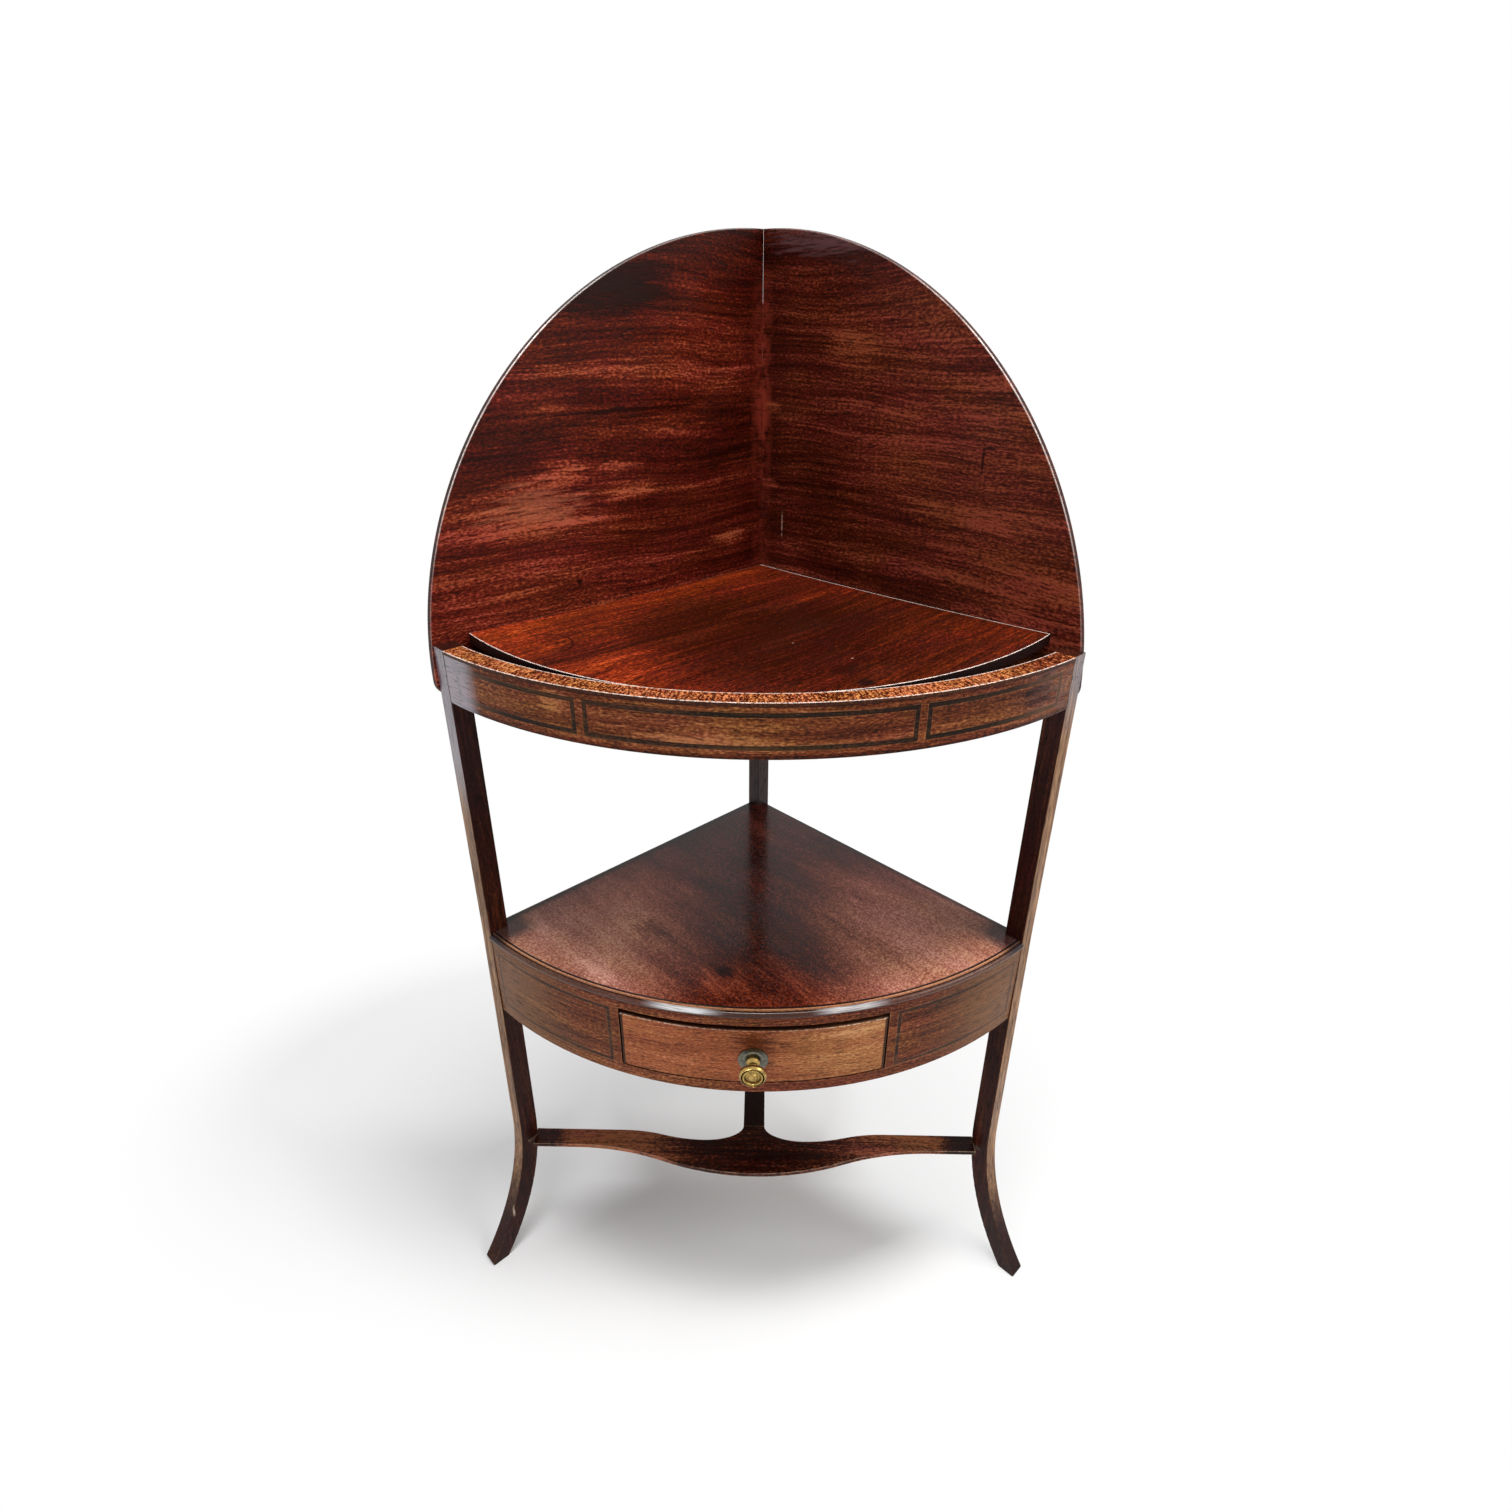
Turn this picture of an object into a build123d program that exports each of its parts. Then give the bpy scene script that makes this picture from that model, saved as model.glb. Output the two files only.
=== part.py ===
# Bow-front corner washstand: two tiers, three legs, splash panels, drawer and loose cover board.
#
# Lengths are millimetres. Each piece is drawn about the back corner where the two splash panels meet.
# In the corner frame +X runs along the left wall, +Y along the right wall and +Z up.
# In the stand frame the corner is still the origin, but -Y points to the front and +X to the right.
# The finished stand is moved so that its origin is the bottom centre of its box.
import math
import os

from build123d import *

# Plan and heights of the stand
bow_radius = 400.0
leg_size = 18.0
top_height = 779.0
upper_tier_depth = 48.5
shelf_height = 474.5
lower_tier_depth = 102.0

# Legs
leg_depth = 20.0
leg_front_lean = 3.0
leg_back_lean = 1.8
toe_throw = 68.5
sabre_height = 200.0
sole_length = 23.5
toe_round = 3.0
leg_arris = 0.8

# Splash panels
splash_thickness = 6.0
splash_height = 381.0
splash_spring_left = 16.5
splash_spring_right = -10.5
splash_overhang_left = 3.0
splash_corner_radius = 14.0
splash_edge_round = 1.4
seam_gap = 0.3

# Rails and their joints
side_rail_thickness = 14.0
lower_side_rail_thickness = 10.0
shelf_setback_left = 5.0
shelf_setback_right = 8.0
tenon_thickness = 6.0
side_tenon_inset = 2.0
tenon_gap = 0.4
bow_tenon_length = 6.0
tenon_shoulder = 4.0
frieze_round = 0.8

# Rim, basin board and cover board
rim_thickness = 3.0
rim_overhang = 0.8
rim_round = 0.9
rim_joint_arc = 150.0
lid_recess = 11.3
basin_board_thickness = 12.0
basin_front_margin = 20.0
basin_side_margin = 42.6
cup_hole_radius = 30.0
cup_front_margin = 33.6
cup_angle = 34.0
block_length = 40.0
block_width = 12.0
block_height = 18.0
block_spacing = 150.0
lid_thickness = 9.0
lid_front_gap = 2.0
lid_end_gap = 16.0
lid_wall_gap = 1.5
lid_cup_rise = 7.0
lid_side_lift = 2.3
lid_back_lift = 4.6
lid_seat_gap = 0.4
lid_edge_round = 0.8

# Dark stringing let into both friezes
string_depth = 1.2
upper_string_width = 4.0
upper_string_top_margin = 8.8
upper_string_bottom_margin = 8.2
upper_string_half_length = 134.0
upper_string_shift = 4.5
upper_string_gap = 6.8
upper_string_end_margin = 16.1
lower_string_width = 3.5
lower_string_margin = 1.5
lower_string_inner_margin = 9.3
lower_string_outer_margin = 7.1

# Lower tier
shelf_thickness = 8.0
ridge_height = 1.6
bead_projection = 2.0
bead_setback = 1.2
bead_step = 1.0
ridge_width = 1.4
quirk_width = 1.2
quirk_depth = 1.1
top_rail_depth = 10.0
bottom_rail_depth = 12.0
flat_rail_width = 30.0
drawer_opening_half_width = 128.0
shelf_block_length = 50.0
shelf_block_size = 12.0
shelf_block_back_margin = 72.0
shelf_block_front_margin = 42.0

# Drawer
drawer_side_gap = 1.5
drawer_top_gap = 4.5
drawer_bottom_gap = 0.8
drawer_front_thickness = 16.0
drawer_edge_round = 1.2
drawer_side_thickness = 7.0
drawer_side_drop = 3.0
drawer_runner_gap = 0.3
drawer_back_gap = 11.5
drawer_bottom_thickness = 5.0
drawer_bottom_lift = 6.0
drawer_groove_depth = 3.5
dovetail_length = 9.0
dovetail_root = 9.0
dovetail_flare = 2.5
dovetail_overlap = 0.6
dovetail_count = 3

# Drawer runners, guides and stops
runner_width = 19.0
guide_gap = 0.6
guide_thickness = 8.0
guide_height = 16.0
stop_spacing = 60.0
stop_width = 30.0
stop_depth = 8.0
stop_height = 4.0
stop_gap = 0.3

# Knob
backplate_radius = 14.2
backplate_thickness = 2.4
backplate_step_radius = 10.5
backplate_step_depth = 1.2
knob_reach = 24.0
knob_drop = 3.0
knob_radius = 12.8
knob_head_depth = 8.0
knob_neck_radius = 4.2
knob_collar_radius = 6.5
knob_collar_depth = 2.6
knob_ring_setback = 3.4
knob_ring_width = 1.5
knob_ring_depth = 1.1
knob_button_radius = 4.6
knob_button_rise = 0.8
knob_dish_depth = 1.4
post_radius = 2.5
post_fit = 0.2
post_engagement = 9.0
nut_size = 10.0
nut_thickness = 3.2
post_end_length = 1.6

# Stretcher
stretcher_height = 166.5
stretcher_thickness = 5.0
stretcher_width = 21.6
stretcher_lap = 3.0
stretcher_swell = 35.0
stretcher_swell_half_length = 207.0
stretcher_back_dip = 12.0
stretcher_back_dip_half_length = 155.0
stretcher_flare_half_length = 59.0
stretcher_flare_rise = 21.0
stretcher_arm_half_width = 12.5
stretcher_tenon_width = 10.0
stretcher_tenon_thickness = 3.0
stretcher_tongue_width = 12.0
stretcher_tongue_length = 14.0
stretcher_tongue_thickness = 2.0

# Screws through the splash panels
screw_head_radius = 3.6
screw_head_depth = 2.4
screw_shank_radius = 1.8
screw_length = 15.0
screw_slot_width = 0.9
screw_slot_depth = 0.9
rail_screw_shares = (0.1, 0.5, 0.9)
leg_screw_drop = 17.0

# One overrun for every cut
overrun = 40.0

# Worked-out levels and places
root2 = math.sqrt(2)
quarter_turn = 90.0
corner_turn = -1.5 * quarter_turn
inner_radius = bow_radius - leg_size
leg_back_reach = bow_radius - leg_depth
frieze_bottom = top_height - upper_tier_depth
frieze_top = top_height - rim_thickness
board_top = top_height - lid_recess
board_bottom = board_top - basin_board_thickness
basin_hole_radius = (inner_radius - basin_front_margin - root2 * basin_side_margin) / (root2 + 1)
basin_reach = inner_radius - basin_hole_radius - basin_front_margin
cup_centre_radius = inner_radius - cup_hole_radius - cup_front_margin
lid_front_reach = inner_radius - lid_front_gap
lid_end_reach = inner_radius - lid_end_gap
leg_face_arc = bow_radius * (math.pi / 4 - math.asin(leg_size / bow_radius))
side_tenon_length = (leg_size - tenon_thickness) / 2 - tenon_gap
shelf_bottom = shelf_height - shelf_thickness
opening_top = shelf_bottom - top_rail_depth
lower_bottom = shelf_height - lower_tier_depth
opening_bottom = lower_bottom + bottom_rail_depth
flat_rail_radius = bow_radius - flat_rail_width
left_rail_face = shelf_setback_left + lower_side_rail_thickness
right_rail_face = shelf_setback_right + lower_side_rail_thickness
opening_arc = bow_radius * math.asin(drawer_opening_half_width / bow_radius)
drawer_half_width = drawer_opening_half_width - drawer_side_gap
drawer_front_bottom = opening_bottom + drawer_bottom_gap
drawer_front_top = opening_top - drawer_top_gap
drawer_side_bottom = opening_bottom + drawer_runner_gap
drawer_side_top = drawer_front_top - drawer_side_drop
drawer_bottom_level = drawer_side_bottom + drawer_bottom_lift
drawer_inner_radius = bow_radius - drawer_front_thickness
drawer_back_reach = drawer_opening_half_width + root2 * right_rail_face + drawer_back_gap
drawer_corner_reach = math.sqrt(drawer_inner_radius**2 - drawer_half_width**2)
drawer_shoulder_reach = drawer_corner_reach - dovetail_overlap
knob_ring_radius = knob_radius - knob_ring_setback
knob_height = (drawer_front_bottom + drawer_front_top) / 2 - knob_drop
stretcher_bottom = stretcher_height - stretcher_thickness
stretcher_front_reach = (bow_radius + leg_front_lean + leg_size) / root2
stretcher_back_reach = stretcher_front_reach - stretcher_width
stretcher_dip_reach = stretcher_back_reach + stretcher_back_dip
stretcher_joint_reach = stretcher_dip_reach - stretcher_flare_rise
stretcher_end = (leg_back_reach + leg_back_lean - leg_size) / root2 + stretcher_lap
splash_top = frieze_bottom + splash_height
panel_back_reach = (2 * splash_thickness - seam_gap) / root2
corner_setback = (bow_radius + knob_reach - panel_back_reach) / 2


# Frames and basic shapes
def to_stand(shape):
    """Turn a shape from the corner frame into the stand frame."""
    return Rot(0, 0, corner_turn) * shape


def mirrored(shape):
    """The same shape on the other wall, in the corner frame."""
    return mirror(shape, Plane(origin=(0, 0, 0), x_dir=(1, 1, 0), z_dir=(1, -1, 0)))


def block(x_range, y_range, z_range):
    """A box between two values on each axis."""
    size = [high - low for low, high in (x_range, y_range, z_range)]
    middle = [(high + low) / 2 for low, high in (x_range, y_range, z_range)]
    return Pos(*middle) * Box(*size)


def bow(inner, outer, bottom, top, low_round=0.0, high_round=0.0):
    """A quarter ring about the corner, with its outer edges eased, in the corner frame."""
    section = make_face(Polyline((inner, bottom), (outer, bottom), (outer, top), (inner, top), close=True))
    outer_corners = section.vertices().group_by(Axis.X)[-1].sort_by(Axis.Y)
    if high_round > 0:
        section = fillet(outer_corners[-1], high_round)
    if low_round > 0:
        outer_low = section.vertices().group_by(Axis.Y)[0].sort_by(Axis.X)[-1]
        section = fillet(outer_low, low_round)
    return revolve(Plane.XZ * section, axis=Axis.Z, revolution_arc=quarter_turn)


def between_legs(shape):
    """Keep what lies between the inner faces of the two front legs."""
    reach = bow_radius + overrun
    return shape & block((leg_size, reach), (leg_size, reach), (-overrun, top_height + overrun))


def arc_block(inner, outer, arc_from, arc_to, bottom, top):
    """A piece of the bow between two arc lengths from the centre line, in the stand frame."""
    start = math.degrees(arc_from / bow_radius)
    sweep = math.degrees((arc_to - arc_from) / bow_radius)
    section = make_face(Polyline((inner, bottom), (outer, bottom), (outer, top), (inner, top), close=True))
    sector = revolve(Plane.XZ * section, axis=Axis.Z, revolution_arc=sweep)
    return Rot(0, 0, start - quarter_turn) * sector


def inside_rails(shape):
    """Keep what lies inside the lower side rails and behind the flat rail, in the stand frame."""
    field = block((right_rail_face, bow_radius), (left_rail_face, bow_radius), (lower_bottom, shelf_height))
    disc = Pos(0, 0, (lower_bottom + shelf_height) / 2) * Cylinder(flat_rail_radius, lower_tier_depth)
    return shape & to_stand(field & disc)


# Tenons, all in the corner frame of the left wall
def bow_tenon(bottom, top):
    """Stub tenon of a curved rail into the inner face of the left front leg."""
    middle = bow_radius - leg_size / 2
    return block(
        (middle - tenon_thickness / 2, middle + tenon_thickness / 2),
        (leg_size - bow_tenon_length, leg_size),
        (bottom, top),
    )


def side_tenons(rail_face, bottom, top):
    """Tenons of a straight side rail: mitred inside the back leg, square in the front leg."""
    across = (rail_face + side_tenon_inset, rail_face + side_tenon_inset + tenon_thickness)
    mitre = Polyline((0, 0), (leg_size, 0), (leg_size, leg_size), close=True)
    own_half = extrude(Pos(0, 0, bottom) * make_face(mitre), amount=top - bottom)
    into_back = block((leg_size - side_tenon_length, leg_size), across, (bottom, top)) & own_half
    into_front = block((leg_back_reach, leg_back_reach + side_tenon_length), across, (bottom, top))
    return into_back, into_front


# Carcase rails
def side_rail(rail_face, thickness, bottom, top):
    """A straight rail along the left wall with a tenon at each end."""
    rail = block((leg_size, leg_back_reach), (rail_face, rail_face + thickness), (bottom, top))
    into_back, into_front = side_tenons(rail_face, bottom + tenon_shoulder, top - tenon_shoulder)
    return rail + into_back + into_front


def lower_side_rails():
    """The rails that carry the shelf: the left one, and the right one as it stands on the right wall."""
    left = side_rail(shelf_setback_left, lower_side_rail_thickness, lower_bottom, shelf_bottom)
    right = side_rail(shelf_setback_right, lower_side_rail_thickness, lower_bottom, shelf_bottom)
    return left, mirrored(right)


def bow_rail(inner, bottom, top, shoulder, low_round=0.0):
    """A curved rail between the front legs with a stub tenon at each end."""
    rail = between_legs(bow(inner, bow_radius, bottom, top, low_round))
    tenon = bow_tenon(bottom + shoulder, top - shoulder)
    return rail + tenon + mirrored(tenon)


def string_frame(arc_from, arc_to, bottom, top, width):
    """A rectangular frame of stringing, flush with the face of the bow, in the stand frame."""
    groove_radius = bow_radius - string_depth
    outer = arc_block(groove_radius, bow_radius, arc_from, arc_to, bottom, top)
    cut_radius = bow_radius + overrun
    inner = arc_block(groove_radius - overrun, cut_radius, arc_from + width, arc_to - width,
                      bottom + width, top - width)
    return outer - inner


def upper_strings():
    """The three rectangles on the upper frieze."""
    bottom = frieze_bottom + upper_string_bottom_margin
    top = top_height - upper_string_top_margin
    left_end = -upper_string_half_length - upper_string_shift
    right_end = upper_string_half_length - upper_string_shift
    far_end = leg_face_arc - upper_string_end_margin
    spans = (
        (-far_end, left_end - upper_string_gap),
        (left_end, right_end),
        (right_end + upper_string_gap, far_end),
    )
    return [string_frame(start, end, bottom, top, upper_string_width) for start, end in spans]


def lower_strings():
    """The two rectangles beside the drawer."""
    bottom = opening_bottom + lower_string_margin
    top = opening_top - lower_string_margin
    inner_end = opening_arc + lower_string_inner_margin
    outer_end = leg_face_arc - lower_string_outer_margin
    right = string_frame(inner_end, outer_end, bottom, top, lower_string_width)
    return [mirror(right, Plane.YZ), right]


# Legs
def leg_notches(levels):
    """What the front legs take from a board that reaches under them, in the corner frame."""
    along = (leg_back_reach, bow_radius + overrun)
    across = (0, leg_size)
    return [block(along, across, levels), block(across, along, levels)]


def front_leg():
    """The left front leg: straight above, leaning out a little below the shelf, swept out at the foot."""
    face_top = (bow_radius, top_height)
    face_bend = (bow_radius, shelf_height)
    face_break = (bow_radius + leg_front_lean, sabre_height)
    toe = (bow_radius + toe_throw, 0)
    heel = (bow_radius + toe_throw - sole_length, 0)
    back_break = (leg_back_reach + leg_back_lean, sabre_height)
    back_bend = (leg_back_reach, shelf_height)
    back_top = (leg_back_reach, top_height)
    outline = [
        Polyline(face_top, face_bend, face_break),
        TangentArc(face_break, toe, tangent=(0, -1)),
        Line(toe, heel),
        TangentArc(back_break, heel, tangent=(0, -1)),
        Polyline(back_break, back_bend, back_top),
        Line(back_top, face_top),
    ]
    leg = extrude(Plane.XZ * make_face(outline), amount=leg_size, dir=(0, 1, 0))
    toe_edge = leg.edges().filter_by(Axis.Y).group_by(Axis.Z)[0].sort_by(Axis.X)[-1]
    leg = fillet(toe_edge, toe_round)
    long_edges = [edge for edge in leg.edges() if abs(edge.tangent_at(0.5).Y) < 0.5]
    return fillet(long_edges, leg_arris)


def back_leg_blank():
    """The straight leg in the back corner; the basin board sits on its top."""
    leg = block((0, leg_size), (0, leg_size), (0, board_bottom))
    upright = leg.edges().filter_by(Axis.Z)
    return fillet(upright, leg_arris)


# Splash panels and their screws
def splash_panel(reach, spring_rise):
    """The left panel: an ellipse about a centre that is spring_rise above the lower edge, mitred in the corner."""
    spring = frieze_bottom + spring_rise
    half_height = splash_top - spring
    start = math.asin((splash_corner_radius - spring_rise) / half_height)
    turn_end = (reach * math.cos(start), frieze_bottom + splash_corner_radius)
    low_left = (-splash_thickness, frieze_bottom)
    low_right = (turn_end[0] - splash_corner_radius, frieze_bottom)
    crown = (0, splash_top)
    crown_left = (-splash_thickness, splash_top)
    outline = [
        Line(low_left, low_right),
        TangentArc(low_right, turn_end, tangent=(1, 0)),
        EllipticalCenterArc((0, spring), reach, half_height, start_angle=math.degrees(start),
                            arc_size=quarter_turn - math.degrees(start)),
        Polyline(crown, crown_left, low_left),
    ]
    sheet = extrude(Plane.XZ * make_face(outline), amount=splash_thickness, dir=(0, -1, 0))
    rim = [edge for edge in sheet.edges() if on_curved_edge(edge)]
    sheet = fillet(rim, splash_edge_round)
    mitre = Polyline(
        (seam_gap / 2, 0),
        (reach + overrun, 0),
        (reach + overrun, -splash_thickness),
        (seam_gap / 2 - splash_thickness, -splash_thickness),
        close=True,
    )
    wedge = extrude(Pos(0, 0, frieze_bottom) * make_face(mitre), amount=splash_top - frieze_bottom)
    return sheet & wedge


def on_curved_edge(edge):
    """True for the face edges of a panel that follow its free outline."""
    middle = edge.position_at(0.5)
    runs_through = abs(edge.tangent_at(0.5).Y) > 0.5
    is_low = middle.Z < frieze_bottom + leg_arris
    is_corner = middle.X < -splash_thickness / 4
    return not (runs_through or is_low or is_corner)


def screw(slotted):
    """A countersunk screw along +Y with its head flush at y = 0."""
    point = screw_shank_radius
    profile = Polyline(
        (0, 0),
        (screw_head_radius, 0),
        (screw_shank_radius, screw_head_depth),
        (screw_shank_radius, screw_length - point),
        (0, screw_length),
        close=True,
    )
    body = revolve(make_face(profile), axis=Axis.Y)
    if not slotted:
        return body
    slot = block((-screw_head_radius, screw_head_radius), (-overrun, screw_slot_depth),
                 (-screw_slot_width / 2, screw_slot_width / 2))
    return body - slot


def screw_places():
    """Centres of the screw heads on the left panel, in the corner frame."""
    rail_middle = (frieze_bottom + board_bottom) / 2
    length = inner_radius - leg_size
    places = [(leg_size + share * length, rail_middle) for share in rail_screw_shares]
    places.append((bow_radius - leg_size / 2, top_height - leg_screw_drop))
    return places


def screws_on_left(slotted):
    """The screws of the left panel, heads flush with its outer face."""
    return [Pos(x, -splash_thickness, z) * screw(slotted) for x, z in screw_places()]


# Basin board and cover board
def basin_board():
    """The board under the cover, with a basin hole and two cup holes, in the stand frame."""
    board = to_stand(bow(0, inner_radius, board_bottom, board_top) - leg_notches((board_bottom, board_top)))
    middle = (board_bottom + board_top) / 2
    holes = [Pos(0, -basin_reach, middle) * Cylinder(basin_hole_radius, basin_board_thickness)]
    cup = Pos(0, -cup_centre_radius, middle) * Cylinder(cup_hole_radius, basin_board_thickness)
    for side in (-1, 1):
        holes.append(Rot(0, 0, side * cup_angle) * cup)
    return board - holes


def board_blocks():
    """Glue blocks under the basin board, behind the bow rail, in the stand frame."""
    blocks = []
    for place in (-block_spacing, 0, block_spacing):
        blocks.append(arc_block(
            inner_radius - block_width, inner_radius,
            place - block_length / 2, place + block_length / 2,
            board_bottom - block_height, board_bottom,
        ))
    return blocks


def cover_board():
    """The loose cover: a quarter-round board, cupped and a little tilted, in the stand frame."""
    half_span = lid_end_reach / root2
    slab_profile = [
        ThreePointArc((-half_span, lid_cup_rise), (0, 0), (half_span, lid_cup_rise)),
        Line((half_span, lid_cup_rise), (half_span, lid_cup_rise - lid_thickness)),
        ThreePointArc(
            (half_span, lid_cup_rise - lid_thickness),
            (0, -lid_thickness),
            (-half_span, lid_cup_rise - lid_thickness),
        ),
        Line((-half_span, lid_cup_rise - lid_thickness), (-half_span, lid_cup_rise)),
    ]
    slab = extrude(Plane.XZ * make_face(slab_profile), amount=lid_front_reach + 2 * overrun, dir=(0, 1, 0))
    pitch = math.degrees(math.atan(lid_back_lift / lid_front_reach))
    roll = -math.degrees(math.atan(lid_side_lift / half_span))
    top_level = board_top + lid_seat_gap + lid_thickness
    slab = Pos(0, -lid_front_reach, top_level) * Rot(pitch, roll, 0) * Pos(0, -overrun, 0) * slab
    apex = (lid_wall_gap, lid_wall_gap)
    left_end = (lid_end_reach, lid_wall_gap)
    right_end = (lid_wall_gap, lid_end_reach)
    front = (lid_front_reach / root2, lid_front_reach / root2)
    plan = make_face([Line(apex, left_end), ThreePointArc(left_end, front, right_end), Line(right_end, apex)])
    prism = extrude(Pos(0, 0, board_top) * plan, amount=lid_thickness + 2 * lid_cup_rise + overrun)
    board = slab & to_stand(prism)
    upper_face = board.faces().sort_by(Axis.Z)[-1]
    return fillet(upper_face.edges(), lid_edge_round)


# Lower tier
def shelf():
    """The quarter-round shelf with a beaded and quirked front edge, in the corner frame."""
    bead_top = shelf_height - ridge_height
    ridge = bow_radius - bead_setback - bead_step
    quirk = ridge - ridge_width
    section = [
        Line((0, shelf_bottom), (bow_radius, shelf_bottom)),
        ThreePointArc(
            (bow_radius, shelf_bottom),
            (bow_radius + bead_projection, (shelf_bottom + bead_top) / 2),
            (bow_radius - bead_setback, bead_top),
        ),
        Polyline(
            (bow_radius - bead_setback, bead_top),
            (ridge, bead_top),
            (ridge, shelf_height),
            (quirk, shelf_height),
            (quirk - quirk_width / 2, shelf_height - quirk_depth),
            (quirk - quirk_width, shelf_height),
            (0, shelf_height),
            (0, shelf_bottom),
        ),
    ]
    board = revolve(Plane.XZ * make_face(section), axis=Axis.Z, revolution_arc=quarter_turn)
    far = bow_radius + overrun
    levels = (shelf_bottom - overrun, shelf_height + overrun)
    field = block((shelf_setback_right, far), (shelf_setback_left, far), levels)
    back_notch = block((0, leg_size), (0, leg_size), levels)
    return (board & field) - [back_notch, *leg_notches(levels)]


def shelf_blocks():
    """Glue blocks in the angle of shelf and side rails, in the corner frame."""
    levels = (shelf_bottom - shelf_block_size, shelf_bottom)
    near = leg_size + shelf_block_back_margin
    far = inner_radius - shelf_block_front_margin - shelf_block_length
    blocks = []
    for start in (near, far):
        along = (start, start + shelf_block_length)
        blocks.append(block(along, (left_rail_face, left_rail_face + shelf_block_size), levels))
        blocks.append(block((right_rail_face, right_rail_face + shelf_block_size), along, levels))
    return blocks


def lower_panels():
    """The fixed curved panels on each side of the drawer, in the stand frame."""
    ring = between_legs(bow(inner_radius, bow_radius, opening_bottom, opening_top))
    ring = to_stand(ring - [*lower_side_rails()])
    far = bow_radius + overrun
    levels = (opening_bottom, opening_top)
    left = ring & block((-far, -drawer_opening_half_width), (-far, 0), levels)
    right = ring & block((drawer_opening_half_width, far), (-far, 0), levels)
    return left, right


def runner():
    """The left drawer runner, in the stand frame."""
    across = (-drawer_half_width - runner_width / 2, -drawer_half_width + runner_width / 2)
    return inside_rails(block(across, (-bow_radius, 0), (lower_bottom, opening_bottom)))


def guide():
    """The left drawer guide, standing on the runner, in the stand frame."""
    face = -drawer_half_width - guide_gap
    return inside_rails(block((face - guide_thickness, face), (-bow_radius, 0),
                              (opening_bottom, opening_bottom + guide_height)))


def drawer_stops():
    """Two stop blocks on the bottom rail, just behind the closed drawer front."""
    stops = []
    outer = drawer_inner_radius - stop_gap
    for side in (-1, 1):
        place = side * stop_spacing
        stops.append(arc_block(outer - stop_depth, outer, place - stop_width / 2, place + stop_width / 2,
                               opening_bottom, opening_bottom + stop_height))
    return stops


# Drawer, all in the stand frame
def drawer_front_blank():
    """The curved front before its joints are cut."""
    ring = to_stand(bow(drawer_inner_radius, bow_radius, drawer_front_bottom, drawer_front_top,
                        drawer_edge_round, drawer_edge_round))
    levels = (drawer_front_bottom, drawer_front_top)
    return ring & block((-drawer_half_width, drawer_half_width), (-bow_radius, 0), levels)


def drawer_side(front_blank):
    """The left side with dovetails at its front end, and the tails alone."""
    outer = -drawer_half_width
    inner = outer + drawer_side_thickness
    height = drawer_side_top - drawer_side_bottom
    pitch = height / dovetail_count
    front_limit = -drawer_shoulder_reach - dovetail_length
    board = block((outer, inner), (front_limit, -drawer_back_reach), (drawer_side_bottom, drawer_side_top))
    board = board - front_blank
    tails = []
    for index in range(dovetail_count):
        middle = drawer_side_bottom + (index + 1 / 2) * pitch
        root = dovetail_root / 2
        tip = root + dovetail_flare
        tail = make_face(Polyline(
            (-drawer_shoulder_reach, middle - root),
            (front_limit, middle - tip),
            (front_limit, middle + tip),
            (-drawer_shoulder_reach, middle + root),
            close=True,
        ))
        tails.append(extrude(Plane.YZ.offset(outer) * tail, amount=drawer_side_thickness))
    return board, tails


def drawer_bottom():
    """The bottom board, let into grooves in the front and sides."""
    half_width = drawer_half_width - drawer_side_thickness + drawer_groove_depth
    levels = (drawer_bottom_level, drawer_bottom_level + drawer_bottom_thickness)
    plate = block((-half_width, half_width), (-bow_radius, -drawer_back_reach), levels)
    groove_radius = drawer_inner_radius + drawer_groove_depth
    disc = Pos(0, 0, sum(levels) / 2) * Cylinder(groove_radius, drawer_bottom_thickness)
    return plate & disc


def drawer_back():
    """The back board, standing on the bottom board and housed in the sides."""
    half_width = drawer_half_width - drawer_side_thickness + drawer_groove_depth
    front = -drawer_back_reach - 2 * drawer_side_thickness
    return block((-half_width, half_width), (front, front + drawer_side_thickness),
                 (drawer_bottom_level + drawer_bottom_thickness, drawer_side_top))


# Knob, drawn about its own axis along -Y and then moved to the drawer front
def turned(points):
    """Revolve a profile of (radius, distance in front of the bow) about the knob's axis."""
    profile = make_face(Polyline(*[(radius, -reach) for radius, reach in points], close=True))
    return Pos(0, -bow_radius, knob_height) * revolve(profile, axis=Axis.Y)


def backplate():
    """The round plate behind the knob, seated on the curved front."""
    face = backplate_thickness - backplate_step_depth
    plate = turned([
        (post_radius + post_fit, -backplate_thickness),
        (backplate_radius, -backplate_thickness),
        (backplate_radius, face),
        (backplate_step_radius, face),
        (backplate_step_radius - backplate_step_depth, backplate_thickness),
        (post_radius + post_fit, backplate_thickness),
    ])
    bow_body = Pos(0, 0, knob_height) * Cylinder(bow_radius, 2 * backplate_radius + overrun)
    return plate - bow_body


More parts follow.
